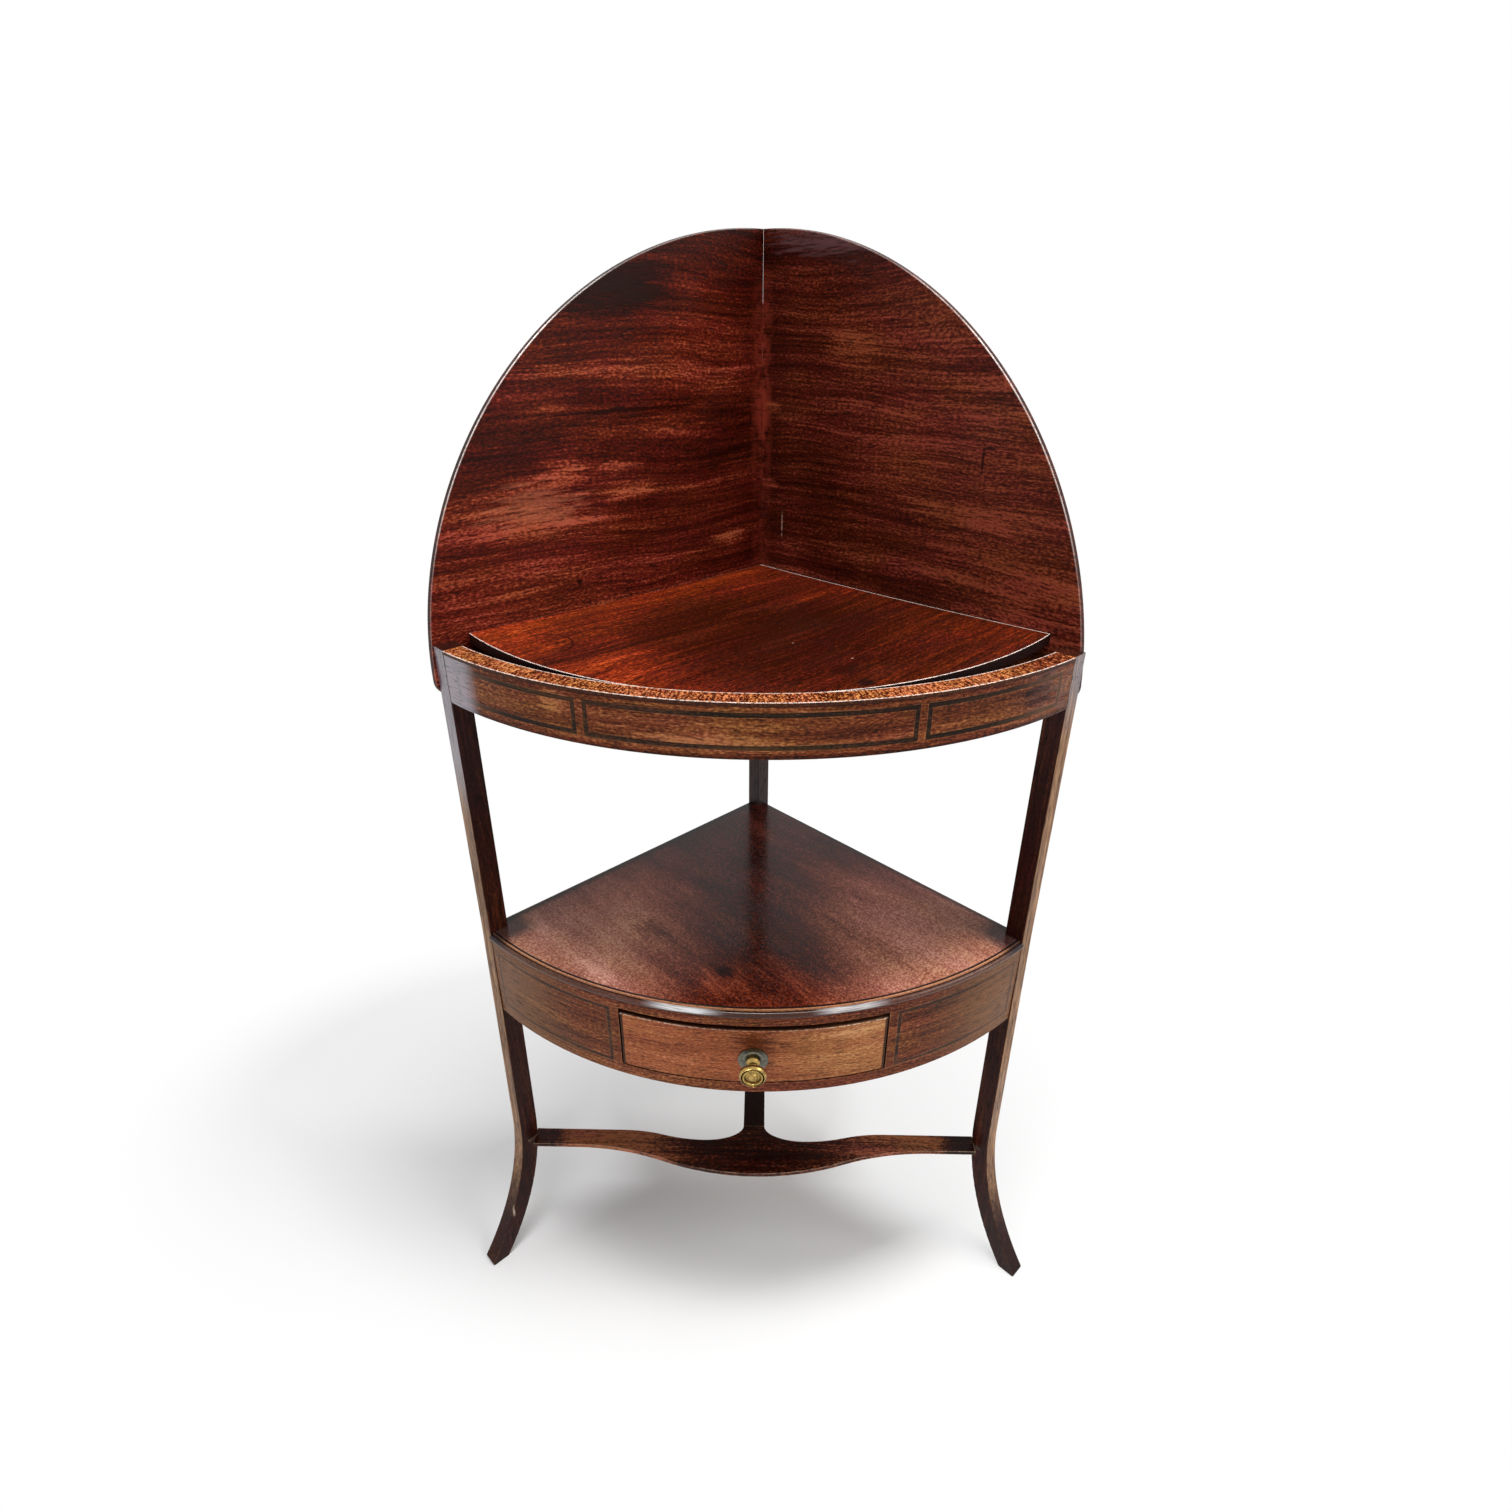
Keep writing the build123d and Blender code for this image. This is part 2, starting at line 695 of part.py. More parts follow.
def knob():
    """The turned knob: collar, neck, rounded head with a ring and a button on its face."""
    back = knob_reach - knob_head_depth
    rim_face = knob_reach - knob_dish_depth
    head_middle = back + knob_head_depth / 2
    ring_inner = knob_ring_radius - knob_ring_width
    ring_face = rim_face + knob_ring_depth / 2
    bore_end = backplate_thickness + post_engagement
    points = [
        (0, bore_end),
        (post_radius, bore_end),
        (post_radius, backplate_thickness),
        (knob_collar_radius, backplate_thickness),
        (knob_collar_radius, backplate_thickness + knob_collar_depth),
        (knob_neck_radius, backplate_thickness + 2 * knob_collar_depth),
        (knob_neck_radius, back - knob_collar_depth / 2),
        (knob_radius - knob_ring_width, back + knob_ring_depth),
        (knob_radius, head_middle - knob_ring_depth),
        (knob_radius, head_middle + knob_ring_depth),
        (knob_radius - knob_ring_depth, rim_face),
        (knob_ring_radius + knob_ring_width, rim_face + knob_ring_depth / 2),
        (knob_ring_radius + knob_ring_width / 2, rim_face - knob_ring_depth),
        (knob_ring_radius, ring_face),
        (ring_inner, ring_face),
        (ring_inner - knob_ring_width / 2, rim_face - knob_ring_depth),
        (knob_button_radius, rim_face - knob_ring_depth / 2),
        (knob_button_radius - knob_ring_width / 2, rim_face + knob_button_rise / 2),
        (0, knob_reach),
    ]
    return turned(points)


def knob_post():
    """The bolt from the knob through the drawer front."""
    tail = -drawer_front_thickness - nut_thickness - post_end_length
    end = backplate_thickness + post_engagement
    return turned([(0, tail), (post_radius, tail), (post_radius, end), (0, end)])


def knob_nut(post):
    """The square nut behind the drawer front."""
    back_face = -bow_radius + drawer_front_thickness
    half = nut_size / 2
    levels = (knob_height - half, knob_height + half)
    nut = block((-half, half), (back_face, back_face + nut_thickness), levels)
    behind_front = Pos(0, 0, knob_height) * Cylinder(drawer_inner_radius, nut_size + overrun)
    return (nut & behind_front) - post


# Stretcher, in the stand frame
def stretcher_plan():
    """Outline of the serpentine front bar, flared into the root of the arm."""
    front = -stretcher_front_reach
    back = -stretcher_back_reach
    dip = -stretcher_dip_reach
    joint = -stretcher_joint_reach
    swell = front - stretcher_swell
    half = stretcher_swell_half_length
    dip_end = stretcher_back_dip_half_length
    flare = stretcher_flare_half_length
    arm = stretcher_arm_half_width
    middle = (half / 2, (front + swell) / 2)
    rise = ((dip_end + flare) / 2, (back + dip) / 2)
    right = make_face([
        TangentArc((0, swell), middle, tangent=(1, 0)),
        TangentArc((half, front), middle, tangent=(-1, 0)),
        Polyline((half, front), (stretcher_end, front), (stretcher_end, back), (dip_end, back)),
        TangentArc((dip_end, back), rise, tangent=(-1, 0)),
        TangentArc((flare, dip), rise, tangent=(1, 0)),
        EllipticalCenterArc((flare, joint), flare - arm, stretcher_flare_rise,
                            start_angle=2 * quarter_turn, arc_size=quarter_turn),
        Polyline((arm, joint), (0, joint), (0, swell)),
    ])
    return right + mirror(right, Plane.YZ)


def stretcher_front(leg):
    """The front bar, notched round the two front legs, and its stub tenon in the left one."""
    bar = extrude(Pos(0, 0, stretcher_bottom) * stretcher_plan(), amount=stretcher_thickness)
    middle = (stretcher_bottom + stretcher_height) / 2
    centre = bow_radius - leg_size / 2
    tenon = block(
        (centre - stretcher_tenon_width / 2, centre + stretcher_tenon_width / 2),
        (leg_size - bow_tenon_length, leg_size),
        (middle - stretcher_tenon_thickness / 2, middle + stretcher_tenon_thickness / 2),
    )
    return bar - [to_stand(leg), to_stand(mirrored(leg))], tenon


def stretcher_arm(back_leg):
    """The arm from the front bar to the back leg, notched round the leg's arris."""
    half = stretcher_arm_half_width
    joint = -stretcher_joint_reach
    arm = block((-half, half), (joint, -leg_size / root2), (stretcher_bottom, stretcher_height)) - back_leg
    middle = (stretcher_bottom + stretcher_height) / 2
    tongue = block(
        (-stretcher_tongue_width / 2, stretcher_tongue_width / 2),
        (joint - stretcher_tongue_length, joint),
        (middle - stretcher_tongue_thickness / 2, middle + stretcher_tongue_thickness / 2),
    )
    return arm, tongue


# Assembly
def carcase():
    """Legs, rails, panels and screws."""
    upper_rail = side_rail(0, side_rail_thickness, frieze_bottom, board_bottom)
    lower_left, lower_right = lower_side_rails()
    upper_bow = bow_rail(inner_radius, frieze_bottom, frieze_top, tenon_shoulder, frieze_round)
    top_rail = bow_rail(flat_rail_radius, opening_top, shelf_bottom, tenon_shoulder / 2)
    bottom_rail = bow_rail(flat_rail_radius, lower_bottom, opening_bottom, tenon_shoulder / 2, frieze_round)
    top_rail = top_rail - [lower_left, lower_right]
    bottom_rail = bottom_rail - [lower_left, lower_right]
    leg = front_leg()
    bar, stretcher_tenon = stretcher_front(leg)
    plain_screws = screws_on_left(False)

    left_cuts = [upper_rail, lower_left, upper_bow, top_rail, bottom_rail, stretcher_tenon] + plain_screws
    right_cuts = [mirrored(item) for item in [upper_rail, stretcher_tenon] + plain_screws]
    right_cuts += [lower_right, upper_bow, top_rail, bottom_rail]
    left_leg = to_stand(leg - left_cuts)
    right_leg = to_stand(mirrored(leg) - right_cuts)
    back_leg = back_leg_blank() - [upper_rail, mirrored(upper_rail), lower_left, lower_right]

    strings = upper_strings()
    slotted = screws_on_left(True)
    blank_back_leg = to_stand(back_leg_blank())
    arm, tongue = stretcher_arm(blank_back_leg)
    both_tenons = [to_stand(stretcher_tenon), to_stand(mirrored(stretcher_tenon))]
    left_splash = splash_panel(bow_radius + splash_overhang_left, splash_spring_left)
    right_splash = splash_panel(bow_radius, splash_spring_right)
    return {
        "front_leg_left": left_leg,
        "front_leg_right": right_leg,
        "back_leg": to_stand(back_leg),
        "upper_side_rail_left": to_stand(upper_rail - plain_screws),
        "upper_side_rail_right": to_stand(mirrored(upper_rail - plain_screws)),
        "lower_side_rail_left": to_stand(lower_left),
        "lower_side_rail_right": to_stand(lower_right),
        "upper_bow_rail": to_stand(upper_bow) - strings,
        "upper_stringing": strings,
        "lower_top_rail": to_stand(top_rail),
        "lower_bottom_rail": to_stand(bottom_rail),
        "splash_panel_left": to_stand(left_splash - plain_screws),
        "splash_panel_right": to_stand(mirrored(right_splash - plain_screws)),
        "splash_screws": [to_stand(item) for item in slotted + [mirrored(item) for item in slotted]],
        "stretcher_front": bar + both_tenons - tongue,
        "stretcher_arm": arm + tongue,
    }


def tier_pieces():
    """Rim, boards, blocks and the fixed panels beside the drawer."""
    rim = to_stand(between_legs(bow(inner_radius, bow_radius + rim_overhang, frieze_top, top_height,
                                    0.0, rim_round)))
    far = bow_radius + overrun
    rim_levels = (frieze_top, top_height)
    centre_cut = arc_block(inner_radius - overrun, far, -rim_joint_arc, rim_joint_arc, *rim_levels)
    side_rim = rim - centre_cut
    left_panel, right_panel = lower_panels()
    strings = lower_strings()
    left_runner = runner()
    left_guide = guide()
    return {
        "rim_band_left": side_rim & block((-far, 0), (-far, 0), rim_levels),
        "rim_band_centre": rim & centre_cut,
        "rim_band_right": side_rim & block((0, far), (-far, 0), rim_levels),
        "basin_board": basin_board(),
        "basin_board_blocks": board_blocks(),
        "lid_board": cover_board(),
        "shelf_board": to_stand(shelf()),
        "shelf_blocks": [to_stand(item) for item in shelf_blocks()],
        "lower_panel_left": left_panel - strings[0],
        "lower_panel_right": right_panel - strings[1],
        "lower_stringing": strings,
        "drawer_runner_left": left_runner,
        "drawer_runner_right": mirror_runner(left_runner),
        "drawer_guide_left": left_guide,
        "drawer_guide_right": mirror_runner(left_guide),
        "drawer_stops": drawer_stops(),
    }


def mirror_runner(shape):
    """The right-hand copy of a runner or guide, kept inside the rails."""
    return inside_rails(mirror(shape, Plane.YZ))


def drawer_pieces():
    """The drawer box and its knob."""
    blank = drawer_front_blank()
    board, tails = drawer_side(blank)
    bottom = drawer_bottom()
    back = drawer_back()
    right_tails = [mirror(tail, Plane.YZ) for tail in tails]
    post = knob_post()
    hole_radius = post_radius + post_fit
    hole_end = -drawer_front_thickness - overrun
    hole = turned([(0, hole_end), (hole_radius, hole_end), (hole_radius, overrun), (0, overrun)])
    left_side = board + tails - [bottom, back]
    return {
        "drawer_front": blank - tails - right_tails - [bottom, hole],
        "drawer_side_left": left_side,
        "drawer_side_right": mirror(left_side, Plane.YZ),
        "drawer_back": back,
        "drawer_bottom": bottom,
        "knob_backplate": backplate(),
        "knob": knob(),
        "knob_post": post,
        "knob_nut": knob_nut(post),
    }


def save(name, shape):
    """Write one piece, or a group of alike pieces, moved to the stand's own origin."""
    whole = Compound(children=shape) if isinstance(shape, list) else shape
    export_step(Pos(0, corner_setback, 0) * whole, os.path.join("parts", name + ".step"))


os.makedirs("parts", exist_ok=True)
for pieces in (carcase(), tier_pieces(), drawer_pieces()):
    for node, piece in pieces.items():
        save(node, piece)
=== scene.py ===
import math

import bpy
from mathutils import Matrix, Vector


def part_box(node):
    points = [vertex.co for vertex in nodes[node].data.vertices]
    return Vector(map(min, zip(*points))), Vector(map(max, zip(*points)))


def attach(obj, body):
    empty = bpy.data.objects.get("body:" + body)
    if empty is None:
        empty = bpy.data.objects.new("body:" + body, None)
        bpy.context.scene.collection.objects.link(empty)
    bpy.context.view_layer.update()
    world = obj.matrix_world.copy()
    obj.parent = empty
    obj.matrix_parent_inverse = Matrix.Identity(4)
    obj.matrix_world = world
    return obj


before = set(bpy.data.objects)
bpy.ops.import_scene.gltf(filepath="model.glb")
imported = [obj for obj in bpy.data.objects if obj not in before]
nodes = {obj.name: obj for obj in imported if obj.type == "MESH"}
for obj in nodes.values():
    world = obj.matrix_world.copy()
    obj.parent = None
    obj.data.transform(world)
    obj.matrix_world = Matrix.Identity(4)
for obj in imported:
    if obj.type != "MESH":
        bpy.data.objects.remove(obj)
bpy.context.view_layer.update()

# Places that the materials follow, in metres
# The corner is where the inner faces of the splash panels meet, and the bow is drawn about it
CORNER_SETBACK = 0.2078634
BOW_RADIUS = 0.400
RIM_WIDTH = 0.018
BETWEEN_TIERS = 0.6
LOW, HIGH = 0, 1


def level(piece, end):
    """The height of a piece's low or high end, to a tenth of a millimetre."""
    return round(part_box(piece)[end].z, 4)


TOP_HEIGHT = level("rim_band_centre", HIGH)
FRIEZE_BOTTOM = level("upper_bow_rail", LOW)
SHELF_TOP = level("shelf_board", HIGH)
DRAWER_LOW = level("drawer_front", LOW)
DRAWER_HIGH = level("drawer_front", HIGH)
DRAWER_HALF_ARC = round(BOW_RADIUS * math.asin(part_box("drawer_front")[HIGH].x / BOW_RADIUS), 4)


# Node helpers
def linear(red, green, blue):
    """A display colour from 0 to 255 as the linear colour that a shader takes."""
    def one(value):
        value = value / 255
        return value / 12.92 if value <= 0.04045 else ((value + 0.055) / 1.055) ** 2.4
    return (one(red), one(green), one(blue), 1.0)


class Tree:
    """A short way to write the nodes of a material or a world."""

    def __init__(self, owner, output="ShaderNodeOutputMaterial"):
        owner.use_nodes = True
        self.owner = owner
        self.tree = owner.node_tree
        self.tree.nodes.clear()
        self.output = self.tree.nodes.new(output)

    def close(self, shader):
        """Sends a shader to the output, and returns the material or world."""
        self.set(self.output.inputs["Surface"], shader.outputs[0])
        return self.owner

    def add(self, kind, inputs=None, **settings):
        node = self.tree.nodes.new(kind)
        for name, value in settings.items():
            setattr(node, name, value)
        for key, value in (inputs or {}).items():
            self.set(node.inputs[key], value)
        return node

    def set(self, socket, value):
        if isinstance(value, bpy.types.NodeSocket):
            self.tree.links.new(value, socket)
        else:
            socket.default_value = value

    def math(self, operation, a, b=0.0, c=0.0):
        node = self.add("ShaderNodeMath", operation=operation)
        for socket, value in zip(node.inputs, (a, b, c)):
            self.set(socket, value)
        return node.outputs[0]

    def size(self, value):
        """The value without its sign."""
        return self.math("ABSOLUTE", value)

    def product(self, first, *others):
        for other in others:
            first = self.math("MULTIPLY", first, other)
        return first

    def plus(self, total, mask, amount):
        """The total, with the amount added where the mask is 1."""
        return self.math("MULTIPLY_ADD", mask, amount, total)

    def vector(self, operation, a, b=(0, 0, 0), output=0):
        node = self.add("ShaderNodeVectorMath", operation=operation)
        self.set(node.inputs[0], a)
        self.set(node.inputs[1], b)
        return node.outputs[output]

    def measure(self, operation, a, b=(0, 0, 0)):
        """A vector operation whose answer is a number, such as LENGTH or DOT_PRODUCT."""
        return self.vector(operation, a, b, output="Value")

    def combine(self, x, y, z):
        return self.add("ShaderNodeCombineXYZ", {0: x, 1: y, 2: z}).outputs[0]

    def separate(self, value):
        return self.add("ShaderNodeSeparateXYZ", {0: value}).outputs

    def coordinate(self, name):
        return self.add("ShaderNodeTexCoord").outputs[name]

    def place(self):
        """The three coordinates of a point on the object."""
        return self.separate(self.coordinate("Object"))

    def normal(self):
        """The three parts of the surface's normal."""
        return self.separate(self.coordinate("Normal"))

    def noise(self, value, scale, detail=3.0, roughness=0.55):
        """Noise over a vector that is first scaled by one number, or by a number for each axis."""
        if isinstance(scale, float):
            scale = (scale, scale, scale)
        scaled = self.vector("MULTIPLY", value, scale)
        inputs = {"Vector": scaled, "Scale": 1.0, "Detail": detail, "Roughness": roughness}
        return self.add("ShaderNodeTexNoise", inputs).outputs[0]

    def span(self, value, start, end, at_start=0.0, at_end=1.0, smooth=False):
        """Goes from at_start, where the value is start, to at_end, where it is end, and no further."""
        inputs = {"Value": value, "From Min": start, "From Max": end, "To Min": at_start, "To Max": at_end}
        node = self.add("ShaderNodeMapRange", inputs)
        if smooth:
            node.interpolation_type = "SMOOTHSTEP"
        return node.outputs[0]

    def between(self, value, rise, fall):
        """1 between a rise and a fall, which are given as span takes them."""
        return self.product(self.span(value, *rise), self.span(value, *fall))

    def ramp(self, value, stops):
        node = self.add("ShaderNodeValToRGB", {"Fac": value})
        elements = node.color_ramp.elements
        while len(elements) < len(stops):
            elements.new(0.5)
        for element, (place, colour) in zip(elements, stops):
            element.position = place
            element.color = colour
        return node.outputs[0]

    def mix(self, factor, a, b, blend="MIX"):
        node = self.add("ShaderNodeMix", data_type="RGBA", blend_type=blend, clamp_factor=True)
        self.set(node.inputs["Factor"], factor)
        self.set(node.inputs[6], a)
        self.set(node.inputs[7], b)
        return node.outputs[2]

    def paint(self, colour, shade, *masks):
        """The colour with a shade over it. The masks, and numbers among them, say how much."""
        return self.mix(self.product(*masks), colour, linear(*shade))

    def tint(self, colour, factors):
        """The colour with its red, green and blue multiplied."""
        return self.mix(1.0, colour, (*factors, 1.0), "MULTIPLY")

    def ellipse(self, value, place, half):
        """0 at a place, 1 on the ellipse with these half lengths about it, and more outside."""
        offset = self.vector("SUBTRACT", value, (place[0], place[1], 0.0))
        scaled = self.vector("MULTIPLY", offset, (1 / half[0], 1 / half[1], 0.0))
        return self.measure("LENGTH", scaled)

    def blot(self, grain, ragged, place, half):
        """1 inside a ragged ellipse about a place on the grain, and 0 outside it."""
        reach = self.math("ADD", self.ellipse(grain, place, half), ragged)
        return self.span(reach, 1.5, 0.4, smooth=True)

    def edge_wear(self, radius, broken):
        """1 on the sharp outer edges and 0 on the faces, in broken stretches."""
        soft_normal = self.add("ShaderNodeBevel", {"Radius": radius}, samples=4).outputs[0]
        true_normal = self.add("ShaderNodeNewGeometry").outputs["Normal"]
        agree = self.measure("DOT_PRODUCT", soft_normal, true_normal)
        return self.product(self.span(agree, 0.985, 0.88), broken)


def new_material(name):
    return Tree(bpy.data.materials.new(name))


# Coordinates that follow each piece
def corner_coordinates(t):
    """Measured from the back corner: X along the left wall, Y along the right wall."""
    moved = t.vector("SUBTRACT", t.coordinate("Object"), (0.0, CORNER_SETBACK, 0.0))
    turned = t.add("ShaderNodeMapping", {"Vector": moved, "Rotation": (0.0, 0.0, math.radians(135))})
    return turned.outputs[0]


def bow_coordinates(t):
    """(length along the bow, height, distance from the corner)."""
    x, y, z = t.place()
    forward = t.math("SUBTRACT", CORNER_SETBACK, y)
    arc = t.product(t.math("ARCTAN2", x, forward), BOW_RADIUS)
    reach = t.math("SQRT", t.math("MULTIPLY_ADD", x, x, t.product(forward, forward)))
    return arc, z, reach


def grain_coordinates(t, kind):
    """(along the grain, across it, through the piece), in metres."""
    if kind in ("left", "right", "flat_left", "flat_right"):
        x, y, z = t.separate(corner_coordinates(t))
        order = {"left": (x, z, y), "right": (y, z, x), "flat_left": (x, y, z), "flat_right": (y, x, z)}
    elif kind in ("bow", "radial"):
        arc, height, reach = bow_coordinates(t)
        order = {"bow": (arc, height, reach), "radial": (reach, arc, height)}
    else:
        x, y, z = t.place()
        order = {"upright": (z, x, y), "wide": (x, y, z), "deep": (y, x, z)}
    return t.combine(*order[kind])


# Wood
# A layer's weight is the tone that it adds when its noise strays this far from 0.5
NOISE_SPREAD = 0.12
SEED_STEPS = (1.37, 2.11, 0.73)


class Wood:
    """What sets one kind of wood apart.

    A scale is in cycles for each metre along, across and through the grain. The five layers
    of the tone are figure, streaks, threads, patches and grit. A zone says in metres where
    something starts and where it is full, as Tree.span takes them.
    """
    scales = ((2.6, 46.0, 20.0), (5.0, 150.0, 90.0), (11.0, 400.0, 280.0), (6.0, 15.0, 9.0),
              (260.0, 560.0, 500.0))
    details = (4.0, 2.0, 1.0, 4.0, 1.0)
    weights = (0.11, 0.08, 0.07, 0.07, 0.13)
    tints = ((1.02, 0.90, 1.06), (1.0, 1.10, 0.86))
    tint_scale = (11.0, 34.0, 20.0)
    wave = 0.05
    wave_scale = (3.0, 7.0, 7.0)
    ragged_scale = (26.0, 260.0, 90.0)
    pore_scale = (60.0, 620.0, 500.0)
    pore_amount = 0.6
    pore_shade = 0.3
    pore_depth = 0.00004
    grit_height = 0.00003
    swell_scale = (28.0, 46.0, 36.0)
    swell_height = 0.00008
    roughness = (0.26, 0.42)
    smear_scale = (12.0, 22.0, 14.0)
    specular = 0.1
    coat_roughness = 0.12
    wear_colour = (196, 150, 112)
    wear_amount = 0.0
    wear_radius = 0.0014
    marks = ()
    stains = ()

    def __init__(self, name, kind, stops, seed, **settings):
        self.name = name
        self.kind = kind
        self.stops = [(place, linear(*colour)) for place, colour in stops]
        self.seed = seed
        for key, value in settings.items():
            setattr(self, key, value)

    # What a kind of wood may change
    def shift_tone(self, t, grain, tone):
        return tone

    def shift_colour(self, t, grain, colour):
        return colour

    def stained_side(self, t, grain):
        return 1.0

    def last_colour(self, t, grain, colour):
        return colour

    def last_roughness(self, t, grain, rough):
        return rough

    def coat_weight(self, t, grain):
        return 0.0

    # What all kinds share
    def tone(self, t, grain, warped):
        """The layers added up, shifted for this piece, and the grit by itself."""
        tone = 0.5 - sum(self.weights) * 0.5 / NOISE_SPREAD
        for scale, weight, detail in zip(self.scales, self.weights, self.details):
            layer = t.noise(warped, scale, detail=detail, roughness=0.62)
            tone = t.plus(tone, layer, weight / NOISE_SPREAD)
        return self.shift_tone(t, grain, tone), layer

    def coloured(self, t, grain, shifted, tone):
        """The tone with its marks, through the colour ramp, with tints and stains."""
        torn = t.noise(shifted, self.ragged_scale, detail=4.0, roughness=0.7)
        ragged = t.span(torn, 0.3, 0.7, -0.8, 0.8)
        for along, across, half_length, half_width, change in self.marks:
            inside = t.blot(grain, ragged, (along, across), (half_length, half_width))
            tone = t.plus(tone, inside, change)
        colour = t.ramp(tone, self.stops)
        hue = t.noise(shifted, self.tint_scale, detail=3.0, roughness=0.6)
        cold, warm = ((*tint, 1.0) for tint in self.tints)
        colour = t.mix(1.0, colour, t.mix(t.span(hue, 0.38, 0.62), cold, warm), "MULTIPLY")
        for along, across, half_length, half_width, shade, amount in self.stains:
            inside = t.blot(grain, ragged, (along, across), (half_length, half_width))
            colour = t.paint(colour, shade, inside, amount, self.stained_side(t, grain))
        return self.shift_colour(t, grain, colour)

    def worn(self, t, shifted, colour):
        """Pale wear along the sharp edges."""
        nicks = t.span(t.noise(shifted, 150.0, detail=3.0), 0.38, 0.56, 0.2, 1.0)
        stretches = t.span(t.noise(shifted, 11.0, detail=2.0), 0.42, 0.56, 0.15, 1.0)
        edge = t.edge_wear(self.wear_radius, t.product(nicks, stretches))
        return t.paint(colour, self.wear_colour, edge, self.wear_amount)

    def material(self):
        t = new_material(self.name)
        grain = grain_coordinates(t, self.kind)
        shifted = t.vector("ADD", grain, tuple(self.seed * step for step in SEED_STEPS))
        bend = t.noise(shifted, self.wave_scale, detail=2.0)
        along, across, through = t.separate(shifted)
        across = t.plus(across, t.math("SUBTRACT", bend, 0.5), self.wave)
        warped = t.combine(along, across, through)

        tone, grit = self.tone(t, grain, warped)
        colour = self.coloured(t, grain, shifted, tone)
        pores = t.span(t.noise(warped, self.pore_scale, detail=1.0, roughness=0.4), 0.57, 0.66)
        darkest = self.stops[0][1]
        pore_colour = (*(self.pore_shade * value for value in darkest[:3]), 1.0)
        colour = t.mix(t.product(pores, self.pore_amount), colour, pore_colour)
        if self.wear_amount:
            colour = self.worn(t, shifted, colour)
        colour = self.last_colour(t, grain, colour)

        smear = t.noise(shifted, self.smear_scale, detail=4.0)
        rough = t.plus(t.span(smear, 0.35, 0.65, *self.roughness), pores, 0.12)
        height = t.product(grit, self.grit_height)
        height = t.plus(height, pores, -self.pore_depth)
        height = t.plus(height, t.noise(shifted, self.swell_scale, detail=2.0), self.swell_height)
        normal = t.add("ShaderNodeBump", {"Height": height, "Distance": 1.0, "Strength": 1.0})
        return t.close(t.add("ShaderNodeBsdfPrincipled", {
            "Base Color": colour,
            "Roughness": self.last_roughness(t, grain, rough),
            "Normal": normal.outputs[0],
            "IOR": 1.5,
            "Specular IOR Level": self.specular,
            "Coat Weight": self.coat_weight(t, grain),
            "Coat Roughness": self.coat_roughness,
        }))


class Panel(Wood):
    """A splash panel: darker near its top, and darker in the corner as painted shade. A red strip
    beside the seam is a painted reflection of the other panel. It has a dark edge and a painted
    highlight along its arris. Its outer face is rougher and has no stains."""
    lift = 0.01
    top_zone = (0.98, 1.09)
    top_tone = -0.32
    corner_shade_zone = (0.055, 0.008)
    corner_shade_tone = -0.06
    stained_zone = (-0.003, -0.002)
    outer_zone = (-0.004, -0.005)
    outer_roughness = 0.3
    strip_zone = (0.017, 0.004)
    strip_low = (0.86, 0.93, 0.45, 1.0)
    strip_top = (1.08, 1.02)
    reflected_strip_colour = (146, 56, 40)
    corner_end = (0.008, 0.02)
    arris_highlight_low = (0.84, 0.95, 0.15, 1.0)
    arris_highlight_top = (1.075, 1.045, 0.2, 1.0)
    edge_colour = (30, 16, 12)
    arris_highlight_colour = (242, 230, 224)

    def stained_side(self, t, grain):
        return t.span(t.separate(grain)[2], *self.stained_zone)

    def last_roughness(self, t, grain, rough):
        through = t.separate(grain)[2]
        return t.math("ADD", rough, t.span(through, *self.outer_zone, 0.0, self.outer_roughness))

    def shift_tone(self, t, grain, tone):
        along, height, _ = t.separate(grain)
        tone = t.plus(tone, t.span(height, *self.top_zone, smooth=True), self.top_tone)
        # Darker towards the corner where the two panels meet: painted shade
        tone = t.plus(tone, t.span(along, *self.corner_shade_zone, smooth=True), self.corner_shade_tone)
        return t.math("ADD", tone, self.lift)

    def shift_colour(self, t, grain, colour):
        along, height, _ = t.separate(grain)
        breaks = t.noise(grain, (60.0, 36.0, 40.0), detail=4.0, roughness=0.7)
        # A red strip beside the seam: a painted reflection of the other panel
        strip = t.product(
            t.span(along, *self.strip_zone), t.span(breaks, 0.40, 0.54),
            t.span(height, *self.strip_top), t.span(height, *self.strip_low))
        return t.paint(colour, self.reflected_strip_colour, strip, 0.8)

    def last_colour(self, t, grain, colour):
        along, height, _ = t.separate(grain)
        x, y, _ = t.normal()
        towards = t.math("SUBTRACT", x if self.kind == "left" else t.product(x, -1.0), y)
        facing = t.product(towards, math.sqrt(0.5))
        away = t.span(along, *self.corner_end)
        edge = t.product(t.span(t.size(facing), 0.55, 0.3), away)
        colour = t.paint(colour, self.edge_colour, edge, 0.75)
        # A painted highlight along the arris, in broken stretches between two heights
        arris = t.between(facing, (0.4, 0.55), (0.97, 0.9))
        dots = t.span(t.noise(grain, 260.0, detail=2.0), 0.36, 0.5, 0.6, 1.0)
        stretches = t.span(t.noise(grain, 9.0, detail=2.0), 0.36, 0.5, 0.4, 1.0)
        upper = t.between(height, self.arris_highlight_low, self.arris_highlight_top)
        return t.paint(colour, self.arris_highlight_colour, t.product(arris, away, dots, stretches, upper), 0.9)


